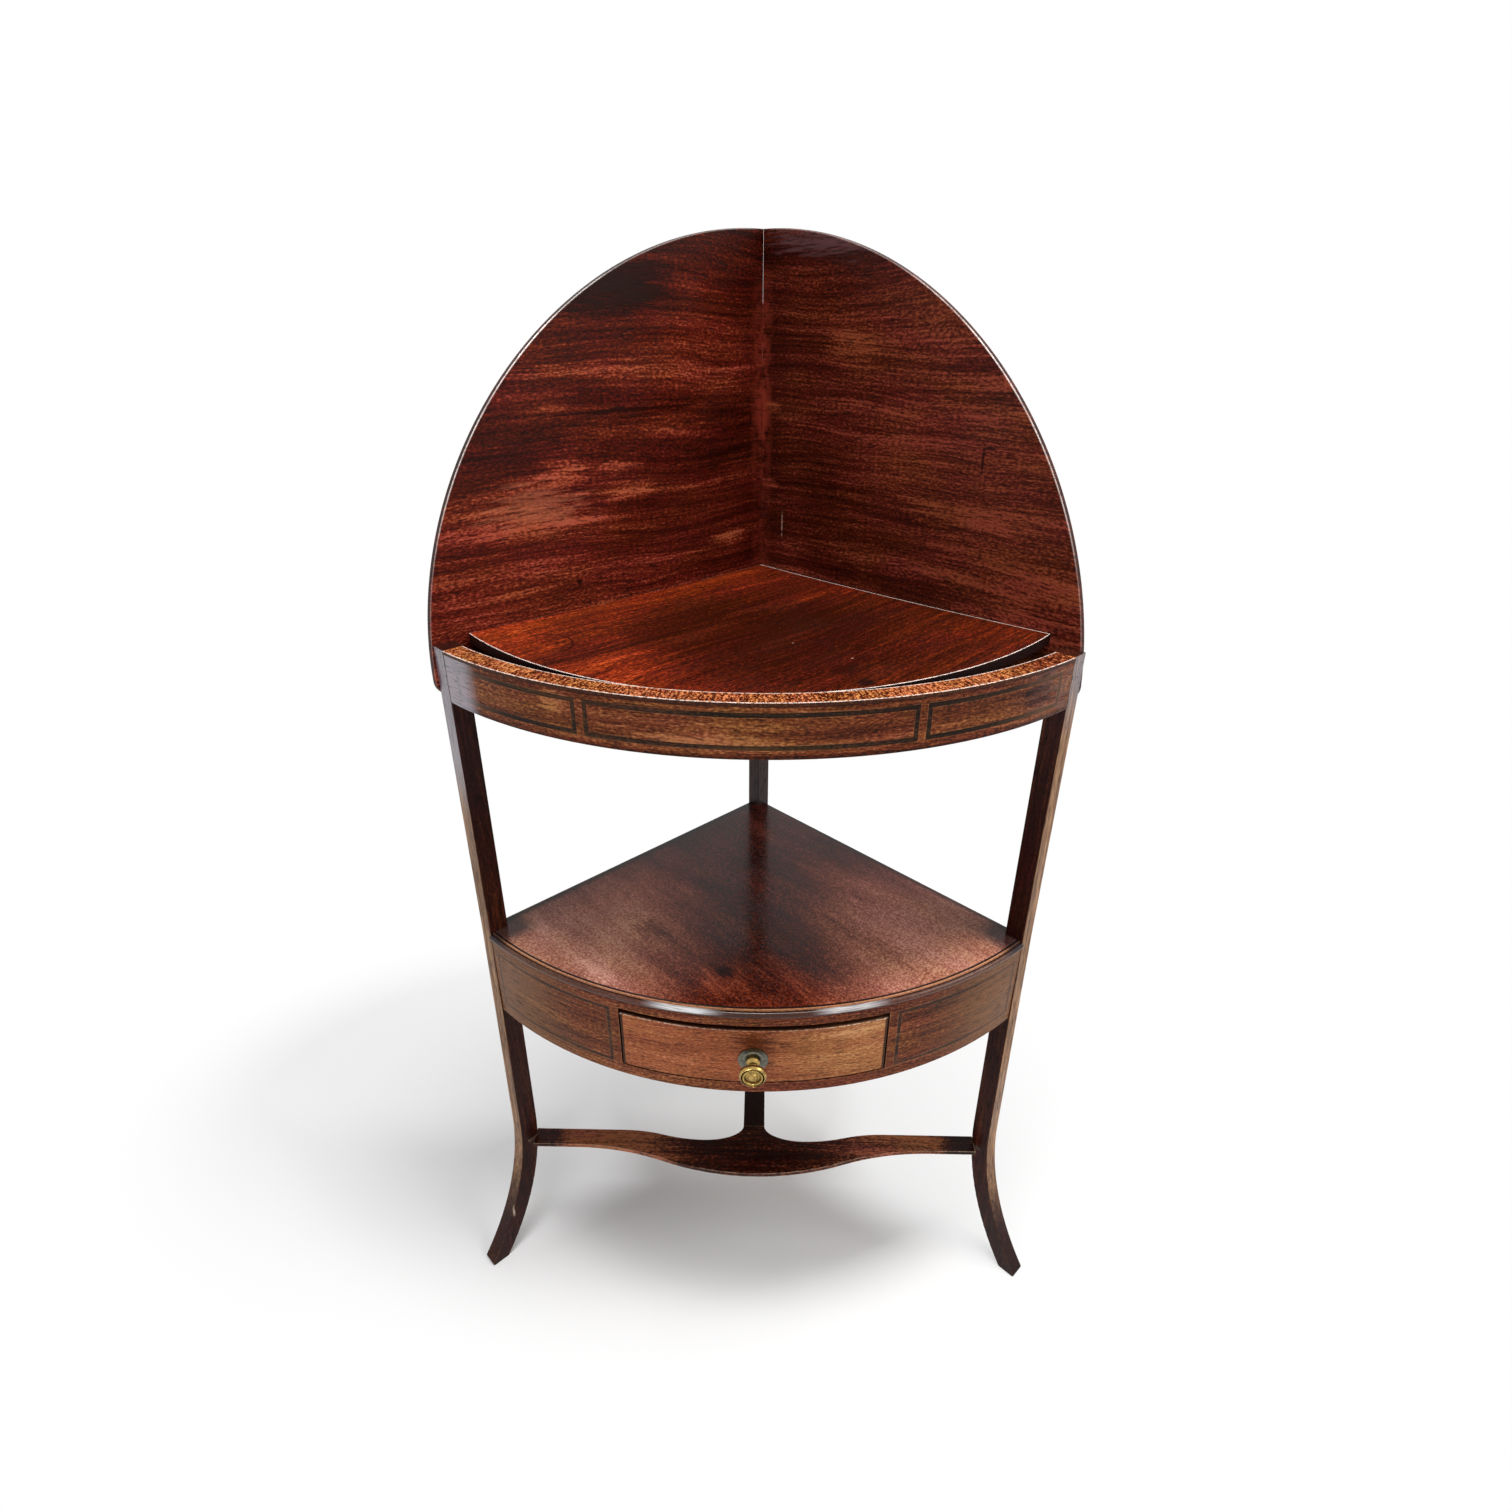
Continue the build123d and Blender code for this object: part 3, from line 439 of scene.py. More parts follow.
class Lid(Wood):
    """The cover board: orange at its left end and along its left edge, dark red in the middle,
    dark on its sides, with a ring that a cup left. A painted highlight runs in dots along its
    arrises and its back edge."""
    lift = -0.155
    middle_place = (0.160, 0.19)
    middle_half = (0.13, 0.14)
    middle_tone = -0.26
    left_end = (0.24, 0.34)
    left_end_tone = 0.15
    left_edge = (0.05, 0.012)
    left_edge_tone = 0.14
    ring_place = (0.3295, 0.0658, 0.0)
    ring_radius = 0.0252
    ring_tone = -0.4
    side_colour = (28, 22, 21)
    arris_highlight_colour = (240, 222, 212)
    back_edge = (0.0034, 0.0028)

    def cup_ring(self, t, grain):
        """1 on the ring's line, on its side towards the corner."""
        along, across, _ = t.separate(t.vector("SUBTRACT", grain, self.ring_place))
        reach = t.measure("LENGTH", t.combine(along, across, 0.0))
        off_line = t.size(t.math("SUBTRACT", reach, self.ring_radius))
        return t.product(t.span(off_line, 0.0014, 0.0006), t.span(along, 0.004, -0.006))

    def shift_tone(self, t, grain, tone):
        along, across, _ = t.separate(grain)
        middle = t.ellipse(grain, self.middle_place, self.middle_half)
        tone = t.plus(tone, t.span(middle, 1.3, 0.35, smooth=True), self.middle_tone)
        tone = t.plus(tone, t.span(along, *self.left_end, smooth=True), self.left_end_tone)
        tone = t.plus(tone, t.span(across, *self.left_edge, smooth=True), self.left_edge_tone)
        tone = t.plus(tone, self.cup_ring(t, grain), self.ring_tone)
        return t.math("ADD", tone, self.lift)

    def last_colour(self, t, grain, colour):
        along = t.separate(grain)[0]
        up = t.normal()[2]
        colour = t.paint(colour, self.side_colour, t.span(t.size(up), 0.6, 0.35), 0.93)
        # A painted highlight in dots along the arrises and the back edge
        dots = t.noise(grain, 300.0, detail=2.0)
        arris = t.product(t.between(up, (0.45, 0.6), (0.985, 0.95)), t.span(dots, 0.36, 0.5, 0.5, 1.0))
        back = t.product(t.span(along, *self.back_edge), t.span(up, 0.5, 0.6),
                         t.span(dots, 0.3, 0.42, 0.3, 1.0))
        return t.paint(colour, self.arris_highlight_colour, t.math("MAXIMUM", arris, back), 0.88)


class Shelf(Wood):
    """The shelf: dark and red in the middle of its front, lighter towards both sides and purplish
    towards the back, all a painted reflection of the upper tier and the room. Painted shade
    darkens it along the walls, and painted shade and reflection darken it beside the front legs.
    On its moulded edge, the quirk and the step are painted dark as shade, and the ridge and two
    stretches of the bead carry painted highlights."""
    lift = -0.29
    reflection_side = (0.02, 0.15)
    reflection_front = (0.14, -0.08)
    reflection_tone = 0.44
    near_front = (-0.07, -0.16)
    near_middle = (0.12, 0.04)
    near_tint = (0.96, 0.66, 0.50)
    far_zone = (-0.09, 0.02)
    far_tint = (1.08, 1.0, 1.12)
    wall_shade_zones = (((0.060, 0.012), 0.35, (40, 24, 26)), ((0.017, 0.0085), 0.85, (34, 26, 28)))
    bead_start = (BOW_RADIUS - 0.0022, BOW_RADIUS - 0.0020)
    step_end = (BOW_RADIUS - 0.0006, BOW_RADIUS - 0.0009)
    quirk_rise = (BOW_RADIUS - 0.0060, BOW_RADIUS - 0.0056)
    quirk_fall = (BOW_RADIUS - 0.0034, BOW_RADIUS - 0.0038)
    ridge_start = (BOW_RADIUS - 0.0037, BOW_RADIUS - 0.0033)
    quirk_shade_colour = (12, 5, 3)
    ridge_highlight_colour = (206, 146, 104)
    bead_colour = (52, 27, 16)
    step_shade_colour = (16, 8, 5)
    highlight_height = (SHELF_TOP - 0.0056, SHELF_TOP - 0.0044)
    highlight_middle = 0.013
    highlight_distance = 0.079
    highlight_length = (0.042, 0.010)
    highlight_strength = (-0.02, 0.04, 0.74, 0.58)
    highlight_colour = (240, 240, 242)
    corner_arc = (0.262, 0.284)
    corner_reach = (0.352, 0.372)
    corner_shade_and_reflection = (26, 20, 26)
    bead_coat = 0.15

    def shift_tone(self, t, grain, tone):
        x, y, _ = t.place()
        # Lighter towards both sides of the front: a painted reflection of the room
        side = t.span(t.size(x), *self.reflection_side, smooth=True)
        front = t.span(y, *self.reflection_front, smooth=True)
        tone = t.plus(tone, t.product(side, front), self.reflection_tone)
        return t.math("ADD", tone, self.lift)

    def shift_colour(self, t, grain, colour):
        x, y, _ = t.place()
        # Redder at the front middle and purplish towards the back: a painted reflection
        near = t.product(t.span(y, *self.near_front, smooth=True), t.span(t.size(x), *self.near_middle))
        colour = t.mix(near, colour, t.tint(colour, self.near_tint))
        far = t.span(y, *self.far_zone, smooth=True)
        return t.mix(far, colour, t.tint(colour, self.far_tint))

    def moulded(self, t, bow, reach, outside, colour):
        """The quirk and the step on the bead's inner side painted dark as shade, the ridge outside the
        quirk with a painted highlight, and the bead.
        """
        dots = t.noise(bow, (240.0, 900.0, 900.0), detail=2.0)
        quirk = t.between(reach, self.quirk_rise, self.quirk_fall)
        ridge = t.product(t.span(reach, *self.ridge_start), t.span(dots, 0.36, 0.5, 0.35, 1.0),
                          t.math("SUBTRACT", 1.0, outside))
        step = t.product(outside, t.span(reach, *self.step_end))
        colour = t.paint(colour, self.quirk_shade_colour, quirk, 0.95)
        colour = t.paint(colour, self.ridge_highlight_colour, ridge, 0.7)
        colour = t.paint(colour, self.bead_colour, outside, 0.85)
        return t.paint(colour, self.step_shade_colour, step, 0.9)

    def bead_highlight(self, t, bow, arc, height, outside):
        """How strong the painted highlight on the bead is in its two stretches, a little less on the
        right.
        """
        from_middle = t.size(t.math("SUBTRACT", arc, self.highlight_middle))
        from_stretch = t.size(t.math("SUBTRACT", from_middle, self.highlight_distance))
        stretch = t.span(from_stretch, *self.highlight_length, smooth=True)
        lines = t.noise(bow, (46.0, 1500.0, 1500.0), detail=1.0)
        upper = t.span(height, *self.highlight_height)
        bright = t.product(outside, stretch, upper, t.span(lines, 0.38, 0.48, 0.45, 1.0))
        return t.product(bright, t.span(arc, *self.highlight_strength))

    def last_colour(self, t, grain, colour):
        bow = grain_coordinates(t, "bow")
        arc, height, reach = t.separate(bow)
        from_walls = t.math("MINIMUM", *t.separate(grain)[:2])
        # Painted shade along the walls
        for zone, amount, shade in self.wall_shade_zones:
            colour = t.paint(colour, shade, t.span(from_walls, *zone, 0.0, amount, smooth=True))
        outside = t.span(reach, *self.bead_start)
        colour = self.moulded(t, bow, reach, outside, colour)
        # A painted highlight on the bead
        colour = t.paint(colour, self.highlight_colour, self.bead_highlight(t, bow, arc, height, outside))
        # Beside the front legs: painted shade and a painted dark reflection of the legs
        corner = t.product(t.span(t.size(arc), *self.corner_arc, smooth=True),
                           t.span(reach, *self.corner_reach, smooth=True))
        return t.paint(colour, self.corner_shade_and_reflection, corner, 0.85)

    def coat_weight(self, t, grain):
        reach = t.separate(grain_coordinates(t, "bow"))[2]
        return t.span(reach, *self.bead_start, 0.0, self.bead_coat)


class DrawerFace(Wood):
    """The drawer front: lighter towards its ends and golden to the right. Its dark edges are
    painted shade from the gaps around it, and its upper arris has painted glints."""
    lift = -0.06
    right_zone = (-0.02, 0.07)
    right_tone = 0.05
    end_zone = (0.03, 0.10)
    end_tone = 0.14
    golden_zone = (-0.01, 0.06)
    golden_tint = (0.95, 1.16, 1.12)
    glint_ends = (0.02, 0.07, 0.25, 1.0)
    end_line = (DRAWER_HALF_ARC - 0.0028, DRAWER_HALF_ARC - 0.0018)
    top_line = (DRAWER_HIGH - 0.0014, DRAWER_HIGH - 0.0004)
    low_line = (DRAWER_LOW + 0.0018, DRAWER_LOW + 0.0008)
    line_colour = (26, 13, 8)
    glint_rise = (DRAWER_HIGH - 0.0022, DRAWER_HIGH - 0.0019)
    glint_fall = (DRAWER_HIGH - 0.0009, DRAWER_HIGH - 0.0012)
    glint_colour = (222, 206, 184)

    def shift_tone(self, t, grain, tone):
        arc = t.separate(grain)[0]
        tone = t.plus(tone, t.span(arc, *self.right_zone, smooth=True), self.right_tone)
        ends = t.span(t.size(arc), *self.end_zone, smooth=True)
        return t.plus(t.math("ADD", tone, self.lift), ends, self.end_tone)

    def shift_colour(self, t, grain, colour):
        arc = t.separate(grain)[0]
        golden = t.span(arc, *self.golden_zone, smooth=True)
        return t.mix(golden, colour, t.tint(colour, self.golden_tint))

    def last_colour(self, t, grain, colour):
        arc, height, _ = t.separate(grain)
        # Dark lines at the ends, top and bottom: painted shade of the gaps around the drawer
        levels = t.math("MAXIMUM", t.span(height, *self.top_line), t.span(height, *self.low_line))
        lines = t.math("MAXIMUM", t.span(t.size(arc), *self.end_line), levels)
        colour = t.paint(colour, self.line_colour, lines, 0.9)
        # Painted glints along the upper arris
        dots = t.span(t.noise(grain, 300.0, detail=2.0), 0.44, 0.54)
        ends = t.span(t.size(arc), *self.glint_ends)
        glints = t.product(t.between(height, self.glint_rise, self.glint_fall), ends, dots)
        return t.paint(colour, self.glint_colour, glints, 0.8)


class Leg(Wood):
    """The legs: dark sides, and lighter, mottled front faces with a painted sheen near the top over
    a real coat. The back leg has a painted grey sheen above the shelf and painted shade, nearly
    black, below it."""
    front_colours = ((0.1, (70, 42, 26)), (0.5, (138, 97, 63)), (0.9, (188, 142, 98)))
    front_start = (0.1, 0.12)
    above_foot = (0.05, 0.16)
    shine_zone = (0.60, 0.68)
    shine_colour = (112, 106, 124)
    right_shine_drop = 0.09
    right_shine = 0.7
    back_leg_zone = (0.10, 0.08)
    back_leg_change = (0.44, 0.48)
    back_leg_sheen_colour = (66, 64, 66)
    back_leg_shade_colour = (10, 5, 5)
    speck_height = (0.74, 0.75)
    speck_colour = (16, 10, 8)

    def front_mask(self, t):
        """1 on the faces that point along the walls, away from the corner."""
        x = t.place()[0]
        normal_x, normal_y, _ = t.normal()
        facing = t.math("SUBTRACT", t.product(t.math("SIGN", x), normal_x), normal_y)
        return t.product(t.span(facing, 0.9, 1.15), t.span(t.size(x), *self.front_start))

    def stained_side(self, t, grain):
        return t.span(t.normal()[1], 0.1, -0.1)

    def shine(self, t, height):
        """1 near the top of the front legs, over a shorter stretch on the right one."""
        x = t.place()[0]
        lowered = t.math("ADD", height, t.span(x, -0.1, 0.1, 0.0, -self.right_shine_drop))
        zone = t.span(lowered, *self.shine_zone, smooth=True)
        return t.product(zone, t.span(x, -0.1, 0.1, 1.0, self.right_shine))

    def shift_colour(self, t, grain, colour):
        height, across, _ = t.separate(grain)
        front_mottle = t.noise(grain, (14.0, 220.0, 220.0), detail=5.0, roughness=0.65)
        stops = [(place, linear(*shade)) for place, shade in self.front_colours]
        front = t.ramp(t.span(front_mottle, 0.25, 0.75), stops)
        # A painted sheen near the top of the front faces, over the real coat
        front = t.paint(front, self.shine_colour, self.shine(t, height), 0.8)
        above_foot = t.span(height, *self.above_foot, smooth=True)
        colour = t.mix(t.product(self.front_mask(t), above_foot), colour, front)
        # The back leg: a painted grey sheen above the shelf, and painted shade below it
        back_leg = t.span(t.size(across), *self.back_leg_zone)
        above = t.span(height, *self.back_leg_change)
        below = t.span(height, *reversed(self.back_leg_change))
        colour = t.paint(colour, self.back_leg_sheen_colour, back_leg, above, 0.5)
        colour = t.paint(colour, self.back_leg_shade_colour, back_leg, below, 0.8)
        specks = t.span(t.noise(grain, 330.0, detail=0.0), 0.70, 0.73)
        specks = t.product(specks, t.span(height, *self.speck_height))
        return t.paint(colour, self.speck_colour, specks, self.front_mask(t))

    def coat_weight(self, t, grain):
        height = t.separate(grain)[0]
        return t.product(self.front_mask(t), self.shine(t, height))


class Rim(Wood):
    """The crossbanded rim: dark sides, a speckled top that is brightest right of its middle, and
    a pale line along its outer and inner edges that is partly wear and partly a painted highlight."""
    inner_reach = BOW_RADIUS - RIM_WIDTH
    middle_zone = (0.16, 0.06)
    middle_tone = -0.07
    bright_zone = (0.05, 0.12)
    bright_tone = 0.07
    right_end = (0.20, 0.27)
    right_end_tone = -0.24
    side_colour = (54, 28, 17)
    line_colour = (238, 218, 206)

    def shift_tone(self, t, grain, tone):
        arc = t.separate(grain)[1]
        middle = t.span(t.size(arc), *self.middle_zone, 0.0, self.middle_tone, smooth=True)
        tone = t.math("ADD", tone, middle)
        tone = t.plus(tone, t.span(arc, *self.bright_zone, smooth=True), self.bright_tone)
        return t.plus(tone, t.span(arc, *self.right_end, smooth=True), self.right_end_tone)

    def last_colour(self, t, grain, colour):
        reach = t.separate(grain)[0]
        up = t.normal()[2]
        colour = t.paint(colour, self.side_colour, t.span(t.size(up), 0.55, 0.35), 0.9)
        # The pale edge line: partly wear and partly a painted highlight
        dots = t.span(t.noise(grain, 280.0, detail=2.0), 0.40, 0.52, 0.25, 1.0)
        outer = t.between(up, (0.35, 0.5), (0.985, 0.95))
        inner = t.product(t.span(reach, self.inner_reach + 0.0012, self.inner_reach + 0.0007),
                          t.span(up, 0.9, 0.95))
        line = t.product(t.math("MAXIMUM", outer, inner), dots)
        return t.paint(colour, self.line_colour, line, 0.82)


class BowFront(Wood):
    """A piece along the bow. The left end of the upper tier has a coat and a painted sheen, like the leg
    beside it.
    """
    left_end = (-0.248, -0.272)
    upper_tier = (0.70, 0.72)

    def sheen(self, t, grain):
        arc, height, _ = t.separate(grain)
        return t.product(t.span(arc, *self.left_end, smooth=True), t.span(height, *self.upper_tier))

    def coat_weight(self, t, grain):
        return self.sheen(t, grain)


class Frieze(BowFront):
    """Curved rails and panels. The upper tier has a dark line under the rim, a dark lower edge
    and grey smears on its right. The lower tier is browner near the legs."""
    rim_shadow = (TOP_HEIGHT - 0.0048, TOP_HEIGHT - 0.0032)
    rim_shadow_tone = -0.5
    lower_edge = (FRIEZE_BOTTOM + 0.006, FRIEZE_BOTTOM + 0.001)
    lower_edge_tone = -0.42
    brown_end = (0.16, 0.26)
    brown = (126, 90, 56)
    grey_end = (0.21, 0.285)
    grey = (108, 92, 88)
    sheen_colour = (156, 148, 160)

    def shift_tone(self, t, grain, tone):
        height = t.separate(grain)[1]
        tone = t.plus(tone, t.span(height, *self.rim_shadow), self.rim_shadow_tone)
        upper_tier = t.span(height, BETWEEN_TIERS, BETWEEN_TIERS + 0.01)
        lower_edge = t.product(upper_tier, t.span(height, *self.lower_edge))
        return t.plus(tone, lower_edge, self.lower_edge_tone)

    def shift_colour(self, t, grain, colour):
        arc, height, _ = t.separate(grain)
        ends = t.span(t.size(arc), *self.brown_end, smooth=True)
        lower_tier = t.span(height, SHELF_TOP, SHELF_TOP - 0.01)
        colour = t.paint(colour, self.brown, ends, lower_tier, 0.6)
        smears = t.noise(grain, (40.0, 130.0, 90.0), detail=4.0, roughness=0.6)
        right_end = t.span(arc, *self.grey_end, smooth=True)
        grey = t.product(right_end, t.span(smears, 0.4, 0.6), t.span(height, *self.upper_tier))
        colour = t.paint(colour, self.grey, grey, 0.45)
        # A painted sheen on the left end of the upper tier
        return t.paint(colour, self.sheen_colour, self.sheen(t, grain), 0.75)


class Stringing(BowFront):
    """Dark inlaid lines, faded towards the legs, with a painted sheen on the left end of the upper tier.
    """
    pore_amount = 0.3
    faded_end = (0.21, 0.265, 0.0, 0.85)
    faded_colour = (94, 62, 42)
    sheen_colour = (140, 132, 142)

    def shift_colour(self, t, grain, colour):
        arc = t.separate(grain)[0]
        ends = t.span(t.size(arc), *self.faded_end, smooth=True)
        colour = t.paint(colour, self.faded_colour, ends)
        return t.paint(colour, self.sheen_colour, self.sheen(t, grain), 0.85)


class Stretcher(Wood):
    """The stretcher: almost black in the middle and beside the legs, browner in between."""
    lift = -0.13
    brown_zone = (0.05, 0.15)
    brown_tone = 0.50
    lopsided_tone = (-0.10, 0.10, 0.04, -0.05)
    leg_zone = (0.214, 0.242)
    leg_tone = -0.6

    def shift_tone(self, t, grain, tone):
        x = t.place()[0]
        tone = t.plus(tone, t.span(t.size(x), *self.brown_zone, smooth=True), self.brown_tone)
        tone = t.math("ADD", tone, t.span(x, *self.lopsided_tone, smooth=True))
        near_leg = t.span(t.size(x), *self.leg_zone, smooth=True)
        return t.plus(t.math("ADD", tone, self.lift), near_leg, self.leg_tone)


# Colour ramps: the tone, and the display colour there
PANEL_LEFT_STOPS = ((0.08, (36, 6, 2)), (0.36, (70, 18, 9)), (0.5, (88, 27, 15)), (0.64, (112, 40, 24)),
                    (0.92, (174, 84, 58)))
PANEL_RIGHT_STOPS = ((0.08, (30, 5, 2)), (0.36, (58, 16, 8)), (0.5, (74, 24, 13)), (0.64, (92, 34, 21)),
                     (0.92, (148, 70, 48)))
LID_STOPS = ((0.06, (42, 10, 3)), (0.28, (68, 21, 9)), (0.5, (100, 32, 12)), (0.7, (146, 51, 18)),
             (0.94, (204, 94, 44)))
LEG_STOPS = ((0.1, (20, 5, 3)), (0.4, (40, 14, 9)), (0.6, (54, 22, 14)), (0.9, (88, 42, 26)))
RIM_STOPS = ((0.1, (38, 12, 5)), (0.35, (94, 39, 19)), (0.55, (142, 72, 37)), (0.88, (212, 142, 92)))
FRIEZE_STOPS = ((0.08, (36, 10, 4)), (0.36, (84, 36, 16)), (0.5, (108, 52, 26)), (0.66, (130, 70, 38)),
                (0.92, (176, 112, 70)))
SHELF_STOPS = ((0.04, (30, 7, 3)), (0.22, (76, 28, 14)), (0.38, (116, 56, 35)), (0.58, (168, 100, 74)),
               (0.80, (214, 154, 122)), (1.0, (246, 192, 160)))
DRAWER_STOPS = ((0.08, (88, 40, 18)), (0.35, (136, 70, 40)), (0.5, (154, 85, 50)), (0.66, (172, 101, 61)),
                (0.92, (208, 142, 96)))
STRETCHER_STOPS = ((0.08, (24, 6, 2)), (0.4, (50, 16, 7)), (0.6, (98, 49, 32)), (0.92, (168, 100, 70)))
STRING_STOPS = ((0.1, (16, 8, 4)), (0.5, (34, 20, 11)), (0.9, (78, 50, 30)))
FADED_STRING_STOPS = ((0.1, (30, 16, 9)), (0.5, (58, 35, 21)), (0.9, (104, 68, 44)))
SEAM_STOPS = ((0.2, (16, 6, 4)), (0.62, (30, 12, 8)), (0.72, (150, 96, 72)), (0.9, (190, 150, 130)))
INNER_STOPS = ((0.1, (44, 20, 12)), (0.5, (82, 40, 25)), (0.9, (122, 66, 42)))
PALE_STOPS = ((0.1, (104, 66, 40)), (0.5, (162, 116, 78)), (0.9, (204, 160, 116)))

# Marks: the place along and across the grain, half its length and width, and the change of tone
# Stains: the same place and halves, then the colour and how strong it is
LEFT_PANEL_MARKS = (
    (0.186, 1.056, 0.056, 0.021, -0.36), (0.095, 1.065, 0.034, 0.009, 0.18),
    (0.222, 0.993, 0.062, 0.007, 0.22), (0.257, 0.964, 0.022, 0.005, 0.24),
    (0.185, 0.957, 0.075, 0.0016, -0.45), (0.247, 0.917, 0.022, 0.009, 0.24),
    (0.197, 0.909, 0.036, 0.006, 0.26), (0.178, 0.885, 0.030, 0.008, 0.24),
    (0.297, 0.869, 0.070, 0.012, 0.20), (0.049, 0.820, 0.020, 0.007, 0.32),
    (0.246, 0.806, 0.003, 0.003, -0.70), (0.060, 0.930, 0.045, 0.030, -0.14),
    (0.330, 0.800, 0.050, 0.010, 0.14), (0.300, 0.940, 0.050, 0.018, -0.14),
    (0.257, 0.902, 0.030, 0.014, 0.22), (0.163, 0.947, 0.030, 0.014, -0.14),
)
LEFT_PANEL_STAINS = (
    (0.284, 0.882, 0.040, 0.016, (168, 94, 68), 0.5),
    (0.186, 1.056, 0.040, 0.014, (24, 16, 10), 0.5),
)
RIGHT_PANEL_MARKS = (
    (0.118, 1.011, 0.036, 0.010, 0.26), (0.276, 0.925, 0.0012, 0.010, -0.50),
    (0.283, 0.934, 0.006, 0.0012, -0.50), (0.016, 0.951, 0.010, 0.004, 0.40),
    (0.013, 0.873, 0.011, 0.005, 0.40), (0.324, 0.790, 0.060, 0.016, 0.20),
    (0.080, 0.860, 0.050, 0.028, -0.14), (0.220, 0.960, 0.070, 0.010, 0.16),
    (0.200, 0.800, 0.080, 0.008, -0.20), (0.270, 0.870, 0.060, 0.008, 0.18),
    (0.330, 0.870, 0.080, 0.080, 0.10), (0.091, 0.803, 0.040, 0.016, -0.20),
)
RIGHT_PANEL_STAINS = (
    (0.095, 1.099, 0.060, 0.012, (104, 70, 72), 0.65),
    (0.033, 0.833, 0.0008, 0.011, (190, 160, 140), 0.7),
)
LID_MARKS = (
    (0.183, 0.284, 0.010, 0.008, -0.30), (0.072, 0.130, 0.032, 0.004, 0.24),
    (0.300, 0.150, 0.040, 0.022, 0.16), (0.090, 0.290, 0.040, 0.020, 0.08),
    (0.300, 0.060, 0.030, 0.016, -0.12), (0.325, 0.102, 0.034, 0.018, -0.20),
    (0.080, 0.330, 0.060, 0.030, -0.12),
)
LID_STAINS = (
    (0.192, 0.316, 0.0075, 0.0095, (18, 9, 8), 0.9),
    (0.166, 0.210, 0.0008, 0.0008, (190, 150, 130), 0.6),
    (0.1586, 0.2718, 0.0008, 0.0008, (190, 150, 130), 0.6),
)
SHELF_MARKS = (
    (0.233, 0.275, 0.022, 0.020, 0.20), (0.262, 0.225, 0.028, 0.016, 0.16),
    (0.225, 0.266, 0.009, 0.007, -0.34), (0.125, 0.278, 0.018, 0.012, -0.20),
    (0.142, 0.352, 0.024, 0.010, 0.12), (0.300, 0.130, 0.050, 0.010, -0.12),
)
LEG_STAINS = (
    (0.068, -0.2905, 0.007, 0.0013, (206, 186, 160), 0.75),
    (0.020, 0.3150, 0.045, 0.0300, (20, 10, 8), 0.5),
)
DRAWER_MARKS = (
    (0.001, 0.438, 0.018, 0.011, -0.38), (-0.085, 0.420, 0.034, 0.005, -0.16),
    (0.100, 0.440, 0.026, 0.005, 0.22),
)
FRIEZE_MARKS = (
    (-0.168, 0.764, 0.010, 0.012, 0.30), (0.060, 0.752, 0.055, 0.005, -0.18),
    (-0.060, 0.748, 0.060, 0.005, 0.16), (0.251, 0.760, 0.018, 0.012, -0.24),
    (0.000, 0.757, 0.100, 0.018, 0.10), (0.195, 0.757, 0.050, 0.016, -0.10),
    (0.200, 0.420, 0.045, 0.030, -0.12),
)

# The woods
panel_left = Panel(
    "mahogany_panel_left", "left", PANEL_LEFT_STOPS, 1.0,
    marks=LEFT_PANEL_MARKS, stains=LEFT_PANEL_STAINS).material()
panel_right = Panel(
    "mahogany_panel_right", "right", PANEL_RIGHT_STOPS, 2.0, corner_shade_tone=-0.16, lift=0.13, top_tone=-0.06,
    marks=RIGHT_PANEL_MARKS, stains=RIGHT_PANEL_STAINS).material()
lid = Lid(
    "mahogany_lid", "flat_left", LID_STOPS, 3.0, marks=LID_MARKS, stains=LID_STAINS,
    scales=((3.0, 60.0, 26.0), (6.0, 180.0, 110.0), (12.0, 420.0, 300.0), (8.0, 17.0, 10.0),
            (280.0, 560.0, 480.0)),
    weights=(0.05, 0.07, 0.06, 0.04, 0.13)).material()
leg = Leg(
    "mahogany_leg", "upright", LEG_STOPS, 4.0, weights=(0.08, 0.06, 0.08, 0.04, 0.08),
    wear_amount=0.3, coat_roughness=0.2, stains=LEG_STAINS).material()
rim = Rim(
    "mahogany_crossband", "radial", RIM_STOPS, 5.0, wave=0.0,
    scales=((60.0, 240.0, 200.0), (110.0, 420.0, 300.0), (150.0, 600.0, 500.0), (18.0, 13.0, 10.0),
            (520.0, 600.0, 600.0)),
    weights=(0.03, 0.05, 0.14, 0.03, 0.25), tints=((1.03, 0.90, 0.94), (1.0, 1.04, 0.80))).material()
frieze = Frieze(
    "mahogany_frieze", "bow", FRIEZE_STOPS, 6.0, weights=(0.08, 0.07, 0.06, 0.05, 0.14),
    wear_amount=0.3, marks=FRIEZE_MARKS).material()
shelf = Shelf(
    "mahogany_shelf", "flat_right", SHELF_STOPS, 7.0, marks=SHELF_MARKS,
    scales=((7.0, 30.0, 26.0), (12.0, 90.0, 80.0), (40.0, 330.0, 300.0), (8.0, 17.0, 10.0),
            (520.0, 560.0, 480.0)),
    weights=(0.045, 0.025, 0.02, 0.045, 0.10), tints=((1.0, 0.95, 1.12), (1.03, 1.05, 1.02)),
    specular=0.20, roughness=(0.12, 0.22), pore_scale=(420.0, 620.0, 500.0), pore_amount=0.2).material()
drawer = DrawerFace(
    "mahogany_drawer", "bow", DRAWER_STOPS, 8.0, weights=(0.05, 0.06, 0.03, 0.06, 0.13),
    tints=((1.0, 0.94, 1.0), (1.0, 1.05, 0.96)), marks=DRAWER_MARKS).material()
stretcher = Stretcher(
    "mahogany_stretcher", "wide", STRETCHER_STOPS, 9.0, wear_amount=0.9,
    wear_colour=(206, 176, 150)).material()
